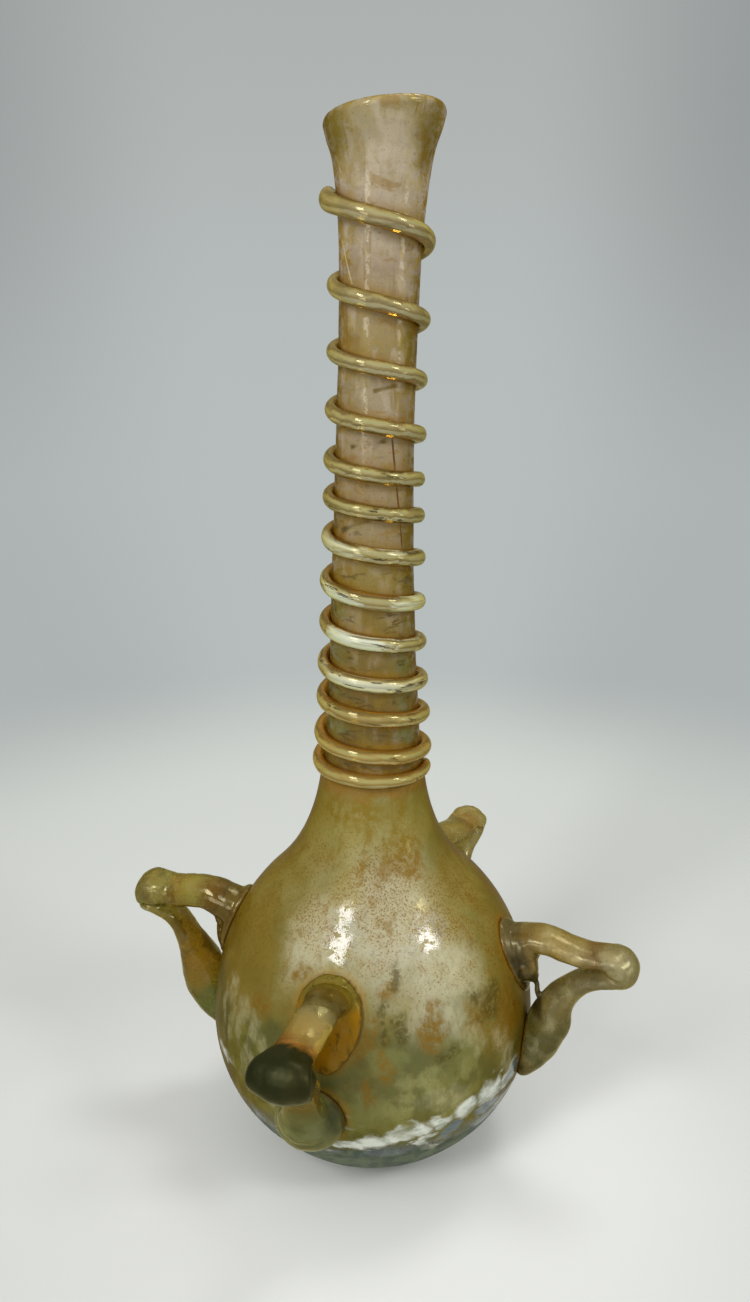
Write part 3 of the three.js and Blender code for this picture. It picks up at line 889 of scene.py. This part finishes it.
# Greenish bloom on worn glass, and the glints on the dark knob.
SHEEN_TINT, KNOB_GLINT = paint("c4d0a0"), paint("eef2cc")

# Stains and tones seen on the wall: the middle and the half sizes of each patch, in millimetres.
PALE_STAINS = ((12, -21, 70, 9, 12, 17), (23, -20, 58, 8, 9, 8), (-5, -27, 66, 6, 8, 9), (24, -26, 50, 6, 7, 7))
AMBER_STAINS = (
    (-23, -27, 56, 12, 14, 15), (-4, -34, 48, 9, 6, 9), (14, -34, 44, 3.2, 5, 10), (36, -3, 55, 6, 11, 12))
SAGE_STAINS = ((22, -28, 34, 13, 10, 8), (-17, -30, 23, 9, 8, 6))
SPECKLED_SIDE = ((27, -8, 62, 9, 12, 12), (35, -12, 47, 6, 12, 9))
MOSS_STAINS = (
    (14.8, -27.3, 59.5, 1.6, 2.5, 3.6), (16.2, -31, 50, 1.8, 2, 3.6), (13.2, -31.8, 48.5, 1.6, 2, 2.4),
    (26.2, -25.9, 43.4, 3, 2.6, 1.8), (12.6, -31.2, 53.8, 1.1, 2, 3.2), (30.5, -18, 47.5, 1.6, 1.6, 2.2),
    (-17.2, -31.6, 44.5, 1.2, 2, 1.6), (32.4, -14.3, 50, 2.4, 3.6, 4.4), (30, -18.4, 53.4, 2, 2.4, 2))
RUST_STAINS = (
    (22.3, -27.4, 48, 3.4, 3.2, 4.4), (21.9, -24.9, 53.2, 1.6, 1.6, 2), (13.2, -28.6, 57, 2.6, 2.4, 2),
    (9.6, -34.4, 47.5, 1.3, 2.2, 9), (30.4, -18.2, 48.4, 4.2, 4, 3.6), (35, -9, 47, 2.6, 5, 5),
    (-4.6, -30.9, 59, 2, 2, 1.6), (3.6, -12.6, 88, 1.2, 2, 7), (9.8, -9, 89, 2.2, 2.2, 4.6),
    (12.6, -10.6, 77, 2.4, 2.4, 6), (3.2, -16.6, 77, 0.9, 2, 6.5), (8.8, -6.4, 101, 3.6, 4.4, 3.4),
    (0, -13, 88.5, 8, 6, 3.2), (10, -11, 81, 3.6, 5, 5), (13.5, -32.8, 42.5, 1.6, 2, 5.5),
    (11, -33.4, 51, 1, 2.4, 6), (11.2, -34.6, 37, 1, 2.4, 5), (-14, -32, 50, 2.6, 2.6, 3))
CRUST_STAINS = (
    (6.5, -35.4, 21.6, 5, 2.6, 1.5), (12.2, -34.4, 22.8, 4.6, 2.6, 2), (16.8, -32.8, 24, 4.4, 2.6, 2.3),
    (20.6, -30.6, 25.4, 3.2, 2.6, 2), (24.6, -28, 27, 3, 2.6, 1.6), (29.4, -23, 27.6, 3.4, 3.4, 2.8),
    (33.4, -17, 29, 2.8, 4, 3.2), (36, -11, 30, 2, 4, 3.4))
CLEAN_SIDE = ((-15, -30, 23, 15, 12, 9),)
BLOOM_STAINS = (
    (-22.6, -28.6, 46, 1.3, 2, 5), (-20.4, -31, 42, 1, 2, 4.4), (-23.6, -29.4, 40, 0.9, 2, 4),
    (-17, -33.4, 37, 1.1, 2, 4.6), (-26.4, -26.4, 43, 1.2, 2, 6), (-19, -32.6, 33, 1.4, 2, 3),
    (-23.4, -26.5, 49.3, 1.6, 2, 4), (-19.1, -30.7, 46.7, 2.2, 2, 2.8), (-15.5, -33.3, 44.2, 1.8, 2, 3),
    (-13.4, -34.5, 41.6, 1.5, 2, 2.6), (30.9, -20.2, 43, 1.3, 2.6, 2.6), (34.4, -14.5, 41.4, 1.3, 2.6, 3),
    (35.6, -12.6, 36, 1.6, 3, 3.4), (29.5, -21.5, 45.5, 3, 3, 2.4), (24, -27, 33, 6, 4, 3))
TEAL_STAINS = (
    (26.8, -25.2, 23.2, 3.2, 3.2, 2), (33.4, -17.2, 24.4, 2.6, 4, 2), (36.6, -8.6, 30, 2.2, 5, 3.4),
    (19, -30, 18.6, 6, 3.4, 1.7), (6.8, -34.8, 17.6, 5, 3, 1.6))
GLOSSY_STAINS = ((2.2, -25.4, 66.4, 4.4, 5, 8.4), (18.4, -18.5, 66.2, 4.6, 4.6, 4.2))
# Painted shade: olive-yellow patches on the left and right edges of the neck and mouth as seen from the front.
NECK_EDGE_SHADE = (
    (-6.4, -8.2, 227, 4.4, 5, 9), (11.6, -2.2, 224, 2.4, 4, 7), (-7.4, -3.9, 188, 2.6, 3.4, 16),
    (-7.6, -4.4, 160, 2.6, 3.4, 20), (-8.4, -4.6, 132, 2.8, 3.6, 18), (9.6, -0.6, 186, 1.9, 3.4, 14),
    (9.4, -0.6, 150, 1.9, 3.4, 22))
DAMP_STAINS = ((-7, -5.8, 112, 4.6, 5, 24), (8, -3, 112, 2.2, 4, 16))
# Dark right side of the front handle's blob.
BLOB_SHADE = (6.4, -40.4, 33, 3, 4.4, 4.8)
# Lines on the neck: two ends, half width and tone.
NECK_LINES = (
    ((6.6, -5.1, 179), (2.7, -7.4, 178), 0.5, "6d5a30"), ((5.1, -6.5, 168.4), (-2, -7.5, 167), 0.55, "5f4e2a"),
    ((2.4, -8, 153), (-4.2, -7.2, 149.8), 0.7, "4f4424"), ((-1.7, -7, 197.8), (-4.3, -5.3, 206), 0.22, "c9bda0"))
HAIR_CRACK = ((6.1, -5.7, 169.1), (7.7, -3.8, 146.3), 0.24, "5c3412")
# Tones up the neck, from NECK_LOW over NECK_SPAN millimetres.
NECK_LOW, NECK_SPAN = 90, 140
NECK_TONES = (
    (0, "6b582c"), (0.14, "665429"), (0.26, "766332"), (0.36, "84723a"), (0.44, "917f5f"), (0.55, "98866a"),
    (0.62, "97886d"), (0.7, "917e53"), (0.79, "9b8973"), (0.9, "b3a48e"), (1, "968760"))
# Down the trail, from its start (0), these turns before its first crossing, to its end (1), these turns on.
TRAIL_START, TRAIL_TURNS = 0.4, 12.8
TRAIL_TONES = (
    (0, "b4a084"), (0.2, "b8a684"), (0.4, "b2a478"), (0.5, "bab488"), (0.66, "c6ba8c"), (0.85, "c4ac6c"),
    (1, "bfa060"))
# Across the trail's section, from its lower edge (0) to its upper edge (1).
# Painted light: a highlight band above, a pale painted reflection below, painted dark edges, amber at both edges.
TRAIL_SECTION_PAINTED_LIGHT = (
    (0, "885910"), (0.06, "4c3b12"), (0.13, "977f37"), (0.21, "dcc67d"), (0.34, "ddce8f"), (0.46, "a8985a"),
    (0.56, "84763f"), (0.64, "e5dbab"), (0.74, "ebe3b6"), (0.83, "887937"), (0.9, "473b19"), (0.95, "ad7221"),
    (1, "8f5f18"))
# How much of the trail's light goes through it, where it isn't silvered.
TRAIL_CLEARNESS = 0.62
# Each handle's glass: tones along its rod from the blob (0) to its root on the pad (1), the pad's upper and
# lower tone, how milky it is against the milkiest, how much light goes through it, and how rough its skin is
# where it is smooth and where it is worn.
HANDLE_LOOKS = {
    "handle_right": {
        "tones": (
            (0, "3f361b"), (0.08, "38361a"), (0.2, "4d4a2a"), (0.3, "635c3e"), (0.42, "6a6246"), (0.5, "786e50"),
            (0.6, "817b5e"), (0.66, "887f63"), (0.7, "644822"), (0.75, "8a7c56"), (0.86, "897646"), (0.94, "785e2d"),
            (1, "443d1b")),
        "pad": ("4a3f22", "1c1608"), "milk": 1, "clear": 0.6, "rough": (0.2, 0.4),
    },
    "handle_front": {
        "tones": (
            (0, "93a088"), (0.18, "7d8a62"), (0.25, "8a6c24"), (0.32, "7a5814"), (0.36, "2c3216"), (0.4, "0b1005"),
            (0.66, "0e1407"), (0.7, "9a6830"), (0.75, "ac9c60"), (0.84, "aca270"), (0.9, "6e602c"), (0.96, "8a6c18"),
            (1, "746a24")),
        "pad": ("6a5e22", "8c6204"), "milk": 0.5, "clear": 0.8, "rough": (0.08, 0.2),
    },
    "handle_back": {
        "tones": (
            (0, "6f6a39"), (0.3, "7b6e3a"), (0.5, "8e834b"), (0.62, "9e9468"), (0.7, "856230"), (0.8, "95894f"),
            (1, "6f5e28")),
        "pad": ("6f6434", "6a5420"), "milk": 1, "clear": 0.65, "rough": (0.18, 0.34),
    },
    "handle_left": {
        "tones": (
            (0, "525e2c"), (0.14, "555e28"), (0.2, "6c5206"), (0.3, "745404"), (0.42, "745a18"), (0.5, "7c7434"),
            (0.58, "868a54"), (0.66, "7a6a34"), (0.7, "7e7c42"), (0.76, "74581a"), (0.82, "8c8640"),
            (0.89, "5c3f04"), (1, "4c3603")),
        "pad": ("5c4810", "523c06"), "milk": 0.3, "clear": 0.7, "rough": (0.13, 0.3),
    },
}


def weathered_body(tint):
    """Olive glass under a khaki film, streaked and speckled brown, bare and blue-green low down, crusted in places."""
    r = Recipe("weathered olive glass")
    r.warped = r.ragged((9, 7), (2.4, 2.6), (0.7, 0.8))
    height = r.parts(r.place)[2]
    wavy = height + (r.cloud(14, 4) - 0.5) * 26
    lay_body_film(r, tint, wavy)
    lay_neck_film(r, height)
    lay_stains(r, tint, height)
    bare = r.most(wavy.step(26, 17), r.spots(TEAL_STAINS, 0.3))
    r.lay(bare * 0.95, r.blend(r.cloud(4, 3, twist=1.0).step(0.4, 0.56), tint.teal, "1a2b2e"))
    foot = (height + (r.cloud(6, 4, 0.6) - 0.5) * 14).step(21.5, 17)
    r.lay(foot * 0.9, r.blend(r.cloud(3.4, 4, twist=0.8).step(0.4, 0.62), "3a4636", "5a6444"))
    lay_seats(r, height)
    crust, flake = crusted(r, tint, wavy, foot)
    r.lay(crust, flake)
    shiny = r.spots(GLOSSY_STAINS, 0.3) * r.cloud(1.5, 4, 0.65).step(0.42, 0.5)
    neck_gloss = r.cloud(1.9, 5, 0.7).step(0.49, 0.54, 0, 0.8) * height.step(90, 100)
    coat = 1 - r.most(crust, shiny, bare, neck_gloss * 0.6)
    gloss = r.most(shiny, r.cloud(4.2, 4, 0.6).step(0.56, 0.62, 0, 0.7), neck_gloss, bare)
    rough = r.most(gloss.step(0, 1, 0.5, 0.1), crust * 0.36, foot * 0.8)
    relief = r.cloud(0.45, 4) * 0.35 + (r.cloud(2.6, 3) * 0.6 + crust * 0.25)
    return r.glass(
        COAT_TINT, relief, 0.07, 0.5, Base_Color=r.under_coat(COAT_TINT, coat), Roughness=rough, IOR=1.52,
        Coat_Weight=coat, Coat_Roughness=0.35)


def lay_body_film(r, tint, wavy):
    """The film's own tone on the body: amber at the left, pale in the middle, greener towards the foot."""
    r.tone = r.blend(r.cloud(17, 5, 0.6).step(0.4, 0.62), tint.olive, tint.khaki)
    r.lay(r.spots(PALE_STAINS, 0.6) * 0.82, "b3b19e")
    r.lay(r.spots(AMBER_STAINS) * 0.65, tint.amber)
    green = r.blend(r.cloud(8, 4).step(0.42, 0.6), tint.green, "666a42")
    r.lay(wavy.step(53, 43) * 0.95, green)
    sage = r.spots(SAGE_STAINS, 0.6) * r.cloud(4, 4).step(0.4, 0.6, 0.3)
    r.lay(sage * 0.72, "8c8c64")


def lay_neck_film(r, height):
    """The neck's film: olive at its foot, pinkish beige above, amber and brown clouds, painted shade at its edges."""
    body = r.tone
    up = height + (r.cloud(9, 4) - 0.5) * 20
    r.tone = r.ramp((up - NECK_LOW) * (1 / NECK_SPAN), NECK_TONES)
    r.lay(r.cloud(6, 5, 0.62, upright=0.6, twist=0.5).step(0.5, 0.64) * 0.4, "86702c")
    bloom = r.cloud(4.2, 3, 0.5, level=1.2, upright=0.5).step(0.5, 0.64)
    r.lay(bloom * height.step(150, 185, 0.25, 0.55), "b8a994")
    r.lay(r.cloud(4.6, 4, 0.6, level=0.8, upright=1.2, twist=0.6).step(0.56, 0.64) * 0.5, "86642c")
    # Painted shade: olive along the neck's and the mouth's edges.
    r.lay(r.spots(NECK_EDGE_SHADE) * 0.85, "70601a")
    damp = r.spots(DAMP_STAINS) * r.cloud(3, 4).step(0.36, 0.56, 0.55)
    r.lay(damp * 0.85, "6c724a")
    for line in NECK_LINES:
        lay_line(r, *line)
    dirt = r.cloud(2.6, 5, 0.68, level=0.6, upright=1.8, twist=0.4).step(0.54, 0.62)
    r.lay(dirt * height.step(185, 120, 0.1, 0.75), "4a3a1c")
    r.tone = r.blend(height.step(88, 98), body, r.tone)


def lay_stains(r, tint, height):
    """Brown speckle, thick on the shoulder and towards the right handle, iron streaks and the named stains."""
    shoulder = abs(height - 72).step(26, 6)
    speckled = r.most(shoulder * 0.62, r.spots(SPECKLED_SIDE, 0.6)) * r.cloud(11, 4).step(0.32, 0.6)
    grime = r.cloud(0.42, 3, 0.62) + speckled * 0.2
    r.lay(speckled * 0.6, "8d7636")
    r.lay(grime.step(0.61, 0.74) * 0.75, tint.speckle)
    mottle = r.cloud(0.9, 5, 0.7, upright=0.5).step(0.5, 0.64)
    r.lay(mottle * height.step(96, 90, 0.1, 0.26), "5c4a18")
    streak = r.cloud(3.4, 4, 0.6, upright=0.16, twist=0.6).step(0.54, 0.7)
    r.lay(streak * height.step(30, 70, 0.2, 0.55), tint.rust)
    rust = r.spots(RUST_STAINS) * r.cloud(1.3, 4, 0.65).step(0.36, 0.6, 0.25)
    r.lay(rust * 0.92, tint.rust)
    moss = r.spots(MOSS_STAINS) * r.cloud(1, 4, 0.65).step(0.4, 0.52, 0.15)
    r.lay(moss * 0.72, tint.moss)
    lay_line(r, *HAIR_CRACK)


def lay_line(r, top, foot, half_width, code):
    """A thin straight line of another tone between two points on the wall, such as the hair crack."""
    foot = Vector(foot)
    along = Vector(top) - foot
    from_foot = r.vector("SUBTRACT", r.place, foot)
    run = r.vector("DOT_PRODUCT", from_foot, along) * (1 / along.length_squared)
    away = r.vector("SUBTRACT", from_foot, r.vector("MULTIPLY", r.alike(run), along))
    line = r.vector("LENGTH", away).step(half_width * 1.3, half_width * 0.5)
    r.lay(line * abs(run - 0.5).step(0.55, 0.45), code)


def lay_seats(r, height):
    """Yellow below the trail, amber where it ends, and amber and brown where other glass sits on the wall."""
    r.lay(height.step(76, 86) * height.step(99, 91) * 0.36, "80741e")
    collar = abs(height + (r.cloud(3, 4) - 0.5) * 8 - 94).step(3.4, 1)
    r.lay(collar * 0.5, "885812")
    seat = r.note("seat") + (r.cloud(3.2, 3) - 0.5) * 1.4
    r.lay(seat.step(2.2, 0.3) * r.cloud(5, 3).step(0.35, 0.6, 0.35) * 0.6, "94701e")
    r.lay(r.note("seat").step(0.75, 0.2) * 0.6, "5e3412")


def crusted(r, tint, wavy, foot):
    """Where the silvery crust lies, in a ragged band, in its stains and as a thin bloom, and its tone."""
    band = r.cloud(7, 4, level=0.7, upright=1.6, twist=0.8).step(0.55, 0.62) * abs(wavy - 23.5).step(7, 3)
    band = band * (1 - r.spots(CLEAN_SIDE, 0.4))
    worn = r.cloud(7, 5, 0.6, level=0.6, upright=1.2, twist=0.4).step(0.34, 0.5, 0.6)
    bloom = r.spots(BLOOM_STAINS) * r.cloud(1.6, 4, 0.6, upright=0.5).step(0.36, 0.6, 0.08, 0.38)
    crust = r.most(r.most(r.spots(CRUST_STAINS, 0.35), band * 0.85) * worn, bloom)
    crust = crust * (1 - r.most(foot, r.spots(TEAL_STAINS, 0.3)) * 0.85)
    grey = r.cloud(3, 5, 0.65, level=0.5, upright=1.1, twist=0.5).step(0.46, 0.66)
    return crust, r.blend(bloom.step(0, 0.2), r.blend(grey, tint.crust, "959a88"), "aaa272")


def trail_glass(tint):
    """Clear olive rod with painted highlights and shade; silvered midway, tan lowest, amber where it meets the neck.
    """
    r = Recipe("trail glass")
    _, reach, lift = r.parts(r.note("flow", "Vector"))
    down = (r.note("turns") + TRAIL_START) * (1 / TRAIL_TURNS)
    across = lift * 0.5 + ((r.streaks(2.4, along=0.3) - 0.5) * 0.5 + 0.5)
    r.tone = r.ramp(down, TRAIL_TONES)
    # Painted light across each turn: highlight bands, a pale painted reflection and painted dark edges.
    r.lay(down.step(0.05, 0.5, 0.6, 0.85), r.ramp(across, TRAIL_SECTION_PAINTED_LIGHT))
    streaks = r.streaks(2.2, 4, 0.6, along=0.22, across=1.5).step(0.45, 0.66)
    r.lay(streaks * 0.5, r.blend(down, tint.olive, tint.amber))
    film = r.streaks(2.6, 4, 0.6, along=0.12, across=1.2, twist=0.3).step(0.46, 0.6)
    silver = film * abs(down - 0.61).step(0.19, 0.08)
    r.lay(silver * 0.85, "c6cec0")
    lines = r.streaks(1.1, 4, 0.7, along=0.1, across=1.2).step(0.56, 0.62)
    r.lay(lines * down.step(0.2, 0.45, 0.25, 0.9), "2f2c17")
    r.lay(reach.step(0.45, -0.1) * down.step(0, 0.7, 0.7, 0.95), r.blend(down, "86661c", "ab6a12"))
    r.lay(down.step(0.72, 0.88, 0, 0.24), "c8a24c")
    return r.rod_glass(
        silver.step(0, 1, TRAIL_CLEARNESS, 0), r.streaks(1.2, along=0.25), 0.1, 0.6,
        Roughness=silver.step(0, 1, 0.07, 0.22), IOR=1.55)


def handle_glass(tint, name):
    """Clear to milky olive glass, drawn in streaks, with rust in the folds and where it meets the wall."""
    r = Recipe(name.replace("_", " ") + " glass")
    look = HANDLE_LOOKS[name]
    dark_knob = name == "handle_front"
    along, near = r.note("turns"), r.note("seat")
    height = r.parts(r.place)[2]
    r.tone = r.ramp(along + (r.cloud(4.5) - 0.5) * 0.1, look["tones"])
    dull = abs(along - 0.54).step(0.17, 0.12, 0, 1 if dark_knob else 0)
    veil = 0.3 - dull * 0.28
    r.lay(r.streaks(2.6, 4, 0.6, along=0.16, across=1.2, twist=0.4).step(0.4, 0.7) * veil, "94782c")
    r.lay(r.cloud(5, 4).step(0.48, 0.68) * (veil * look["milk"]), "c4bd98")
    r.lay(r.cloud(3.6, 4).step(0.46, 0.62) * along.step(0.24, 0.14) * 0.5, "35432c")
    if dark_knob:
        r.lay(r.spot(BLOB_SHADE, 0.5) * 0.6, "26332a")
    seat = near + (r.cloud(2.4) - 0.5) * 1.2
    pad = seat.step(5.6, 4.2) * height.step(39.5, 42.5)
    lay_pad(r, pad * 0.9, height, *look["pad"])
    r.lay(seat.step(1.2, 0.2) * 0.75, tint.rust)
    r.lay(near.step(0.55, 0.1) * 0.8, "38240e")
    r.lay(r.note("fold").step(0.35, 0.8) * (0.5 - dull * 0.45), tint.rust)
    r.lay(r.cloud(1.1, 4, 0.65).step(0.62, 0.68) * (0.5 - dull * 0.5), tint.speckle)
    clear = (1 - pad * 0.8) * look["clear"] * (1 - dull * 0.9)
    return r.rod_glass(
        clear, r.streaks(3.4, 2, along=0.3) + r.cloud(0.6) * 0.1, 0.14, 0.5,
        Roughness=r.most(r.cloud(3.2, 4).step(0.45, 0.6, *look["rough"]), dull * 0.42),
        IOR=1.4 if dark_knob else 1.52, Specular_Tint=KNOB_GLINT if dark_knob else (1, 1, 1),
        Sheen_Weight=0.14 if dark_knob else 0.06, Sheen_Roughness=0.25, Sheen_Tint=SHEEN_TINT)


def lay_pad(r, share, height, upper, lower):
    """The pad's own tone, from its upper edge down, clouded and drawn out in dark threads."""
    tone = r.blend(height.step(54, 57.5), lower, upper)
    tone = r.blend(r.cloud(2.4, 4, 0.6).step(0.5, 0.66) * 0.2, tone, "8f7a3c")
    threads = r.cloud(1.5, 4, 0.65, upright=0.3, twist=0.6).step(0.52, 0.62)
    r.lay(share, r.blend(threads * 0.6, tone, "3e2808"))


class BOTTLE_OT_vessel(Operator):
    """Blow the body, neck and mouth"""
    bl_idname = "bottle.vessel"
    bl_label = "Blow vessel"

    def execute(self, context):
        scene = context.scene
        shaped = blow_vessel(scene.bottle_sizes)
        finish_piece("vessel_blown", shaped, weathered_body(scene.bottle_colours), "vessel")
        return {"FINISHED"}


class BOTTLE_OT_trail(Operator):
    """Wind the trail of glass round the neck"""
    bl_idname = "bottle.trail"
    bl_label = "Wind trail"

    def execute(self, context):
        scene = context.scene
        shaped = wind_trail(scene.bottle_trail, Wall(scene.bottle_sizes))
        finish_piece("neck_trail_wound", shaped, trail_glass(scene.bottle_colours), "neck_trail")
        return {"FINISHED"}


class BOTTLE_OT_handles(Operator):
    """Fold the four handles"""
    bl_idname = "bottle.handles"
    bl_label = "Fold handles"

    def execute(self, context):
        scene = context.scene
        wall = Wall(scene.bottle_sizes)
        for name, one in HANDLES.items():
            shaped = fold_handle(one, scene.bottle_handles, wall)
            material = handle_glass(scene.bottle_colours, name)
            finish_piece(f"{name}_folded", shaped, material, name)
        return {"FINISHED"}


class BOTTLE_OT_stage(Operator):
    """Lay the table, hang the backdrop, and place the lamps and the camera"""
    bl_idname = "bottle.stage"
    bl_label = "Set stage"

    def execute(self, context):
        scene = context.scene
        lay_table(scene.bottle_stage)
        hang_lamps()
        place_camera(scene)
        scene.view_settings.view_transform = "Standard"
        return {"FINISHED"}


# Stage. The camera looks at the bottle's front, turned by this angle from +Y.
VIEW_TURN = math.radians(19)
VIEW_SIDE = facing(VIEW_TURN)
VIEW_AHEAD = UP.cross(VIEW_SIDE)
VIEW_PITCH = math.radians(17.5)
CAMERA_AWAY = 0.2242
CAMERA_HEIGHT = 0.1928
CAMERA_SIDE = 0.0005
LENS = 29.72
# Tone of the room behind and above.
ROOM = "aaacaa"
# The sheet's outline: (radius, height) on the table, then the middle and radius of the curve, and its top.
TABLE_OUTLINE = ((0, 0), (0.25, 0), (0.6, 0))
SWEEP_MIDDLE, SWEEP_RADIUS, SWEEP_POINTS, SHEET_TOP, SHEET_STEPS = (1.0, 0.4), 0.4, 12, (1.4, 0.75), 96


def place_camera(scene):
    """Stands the camera where the bottle is seen as in the view that is wanted."""
    data = bpy.data.cameras.new("view")
    data.lens = LENS
    data.clip_start = 0.01
    camera = bpy.data.objects.new("view", data)
    scene.collection.objects.link(camera)
    camera.location = -VIEW_AHEAD * CAMERA_AWAY + UP * CAMERA_HEIGHT + VIEW_SIDE * CAMERA_SIDE
    look = VIEW_AHEAD * math.cos(VIEW_PITCH) - UP * math.sin(VIEW_PITCH)
    camera.rotation_euler = look.to_track_quat("-Z", "Y").to_euler()
    scene.camera = camera


def table_cloth(stage):
    """Cloth near the bottle; the backdrop's glowing tone further away and up the wall."""
    r = Recipe("table and backdrop")
    height = r.parts(r.place)[2]
    ahead, right = (r.vector("DOT_PRODUCT", r.place, way) for way in (VIEW_AHEAD, VIEW_SIDE))
    away = r.vector("LENGTH", r.vector("MULTIPLY", r.place, (1, 1, 0)))
    aside = r.most(right, right * -0.85)
    r.tone = stage.cloth
    # Painted shade: the cloth a little darker further back and towards the sides, as the light falls off.
    r.lay(ahead.step(-120, 220), "c6c9c4")
    r.lay(aside.step(40, 180) * 0.6, "b8bbb7")
    # Painted light: a pale pool round the bottle that lifts its shadow.
    r.lay(r.vector("LENGTH", r.place).step(110, 30) * 0.55, "eeeeea")
    cloth = r.add("ShaderNodeBsdfDiffuse", Color=r.tone)
    r.tone = stage.wall
    r.lay(height.step(0, 900), ROOM)
    # Painted shade: the backdrop darker towards the sides.
    r.lay(r.sum("DIVIDE", aside, away).step(0.13, 0.38) * height.step(-300, 500), "989c9c")
    glow = r.add("ShaderNodeEmission", Color=r.tone, Strength=1.0)
    return r.finished(r.add("ShaderNodeMixShader", None, (away.step(200, 370), cloth, glow)))


def lay_table(stage):
    """One sheet, spun: flat under the bottle, and curving up into a backdrop all round."""
    outline = [Vector(place) for place in TABLE_OUTLINE]
    outline += arc(SWEEP_MIDDLE, SWEEP_RADIUS, SWEEP_RADIUS, -math.pi / 2, 0, SWEEP_POINTS)
    outline.append(Vector(SHEET_TOP))
    sheet = spin_outline(outline, SHEET_STEPS)
    bmesh.ops.reverse_faces(sheet, faces=sheet.faces)
    table = as_object("table_and_backdrop", sheet, table_cloth(stage))


# Soft lamps: name, turn from +X, elevation, width, height, radiance. All hang at one distance from a point above
# the foot.
LAMPS = (
    ("window_left", -107, 40, 0.26, 0.42, 16.0), ("window_left_low", -103, 8, 0.26, 0.36, 5.8),
    ("window_right_low", -8, 8, 0.22, 0.3, 4.8), ("window_right", -13, 38, 0.24, 0.24, 17.0),
    ("ceiling", 60, 68, 0.3, 0.3, 9.0))
LAMPS_AWAY, LAMPS_AROUND, ROOM_LIGHT = 1.1, UP * 0.1, 0.7


def hang_lamps():
    """Soft windows at both sides, each with a low pane, a ceiling lamp, and an even world, greyer where it is seen."""
    for name, turn, lift, width, height, radiance in LAMPS:
        data = bpy.data.lights.new(name, "AREA")
        data.shape = "RECTANGLE"
        data.size, data.size_y = width, height
        data.energy = radiance * math.pi * width * height
        lamp = bpy.data.objects.new(name, data)
        bpy.context.scene.collection.objects.link(lamp)
        turn, lift = math.radians(turn), math.radians(lift)
        way = Vector((math.cos(turn) * math.cos(lift), math.sin(turn) * math.cos(lift), math.sin(lift)))
        lamp.location = way * LAMPS_AWAY + LAMPS_AROUND
        lamp.rotation_euler = way.to_track_quat("Z", "Y").to_euler()
        lamp.visible_camera = False
    world = bpy.data.worlds.new("soft room")
    world.use_nodes = True
    nodes, links = world.node_tree.nodes, world.node_tree.links
    light, seen = nodes["Background"], nodes.new("ShaderNodeBackground")
    light.inputs["Color"].default_value = (1, 1, 1, 1)
    light.inputs["Strength"].default_value = ROOM_LIGHT
    seen.inputs["Color"].default_value = (*paint(ROOM), 1)
    either = nodes.new("ShaderNodeMixShader")
    ray = nodes.new("ShaderNodeLightPath").outputs["Is Camera Ray"]
    for socket, source in zip(either.inputs, (ray, light.outputs[0], seen.outputs[0])):
        links.new(source, socket)
    links.new(either.outputs[0], nodes["World Output"].inputs["Surface"])
    bpy.context.scene.world = world


class BOTTLE_PT_panel(Panel):
    """Sizes, colours and steps of the bottle"""
    bl_idname = "BOTTLE_PT_panel"
    bl_label = "Blown glass bottle"
    bl_space_type = "VIEW_3D"
    bl_region_type = "UI"
    bl_category = "Bottle"

    def draw(self, context):
        scene = context.scene
        for title, operator, group in STEPS:
            box = self.layout.box()
            box.label(text=title)
            if group:
                settings = getattr(scene, group)
                for name in settings.__annotations__:
                    box.prop(settings, name)
            if operator:
                box.operator(operator)


STEPS = (
    ("Colours", None, "bottle_colours"),
    ("Vessel", "bottle.vessel", "bottle_sizes"),
    ("Neck trail", "bottle.trail", "bottle_trail"),
    ("Handles", "bottle.handles", "bottle_handles"),
    ("Stage", "bottle.stage", "bottle_stage"),
)
GROUPS = {
    "bottle_sizes": BottleSizes,
    "bottle_trail": TrailSizes,
    "bottle_handles": HandleSizes,
    "bottle_colours": GlassColours,
    "bottle_stage": StageSettings,
}
OPERATORS = (BOTTLE_OT_vessel, BOTTLE_OT_trail, BOTTLE_OT_handles, BOTTLE_OT_stage)


def register():
    for kind in (*GROUPS.values(), *OPERATORS, BOTTLE_PT_panel):
        bpy.utils.register_class(kind)
    for name, group in GROUPS.items():
        setattr(bpy.types.Scene, name, PointerProperty(type=group))


def unregister():
    for name in GROUPS:
        delattr(bpy.types.Scene, name)
    for kind in (BOTTLE_PT_panel, *reversed(OPERATORS), *reversed(GROUPS.values())):
        bpy.utils.unregister_class(kind)


def main():
    register()
    bpy.ops.bottle.trail()
    bpy.ops.bottle.handles()
    bpy.ops.bottle.vessel()
    bpy.ops.bottle.stage()


if __name__ == "__main__":
    main()
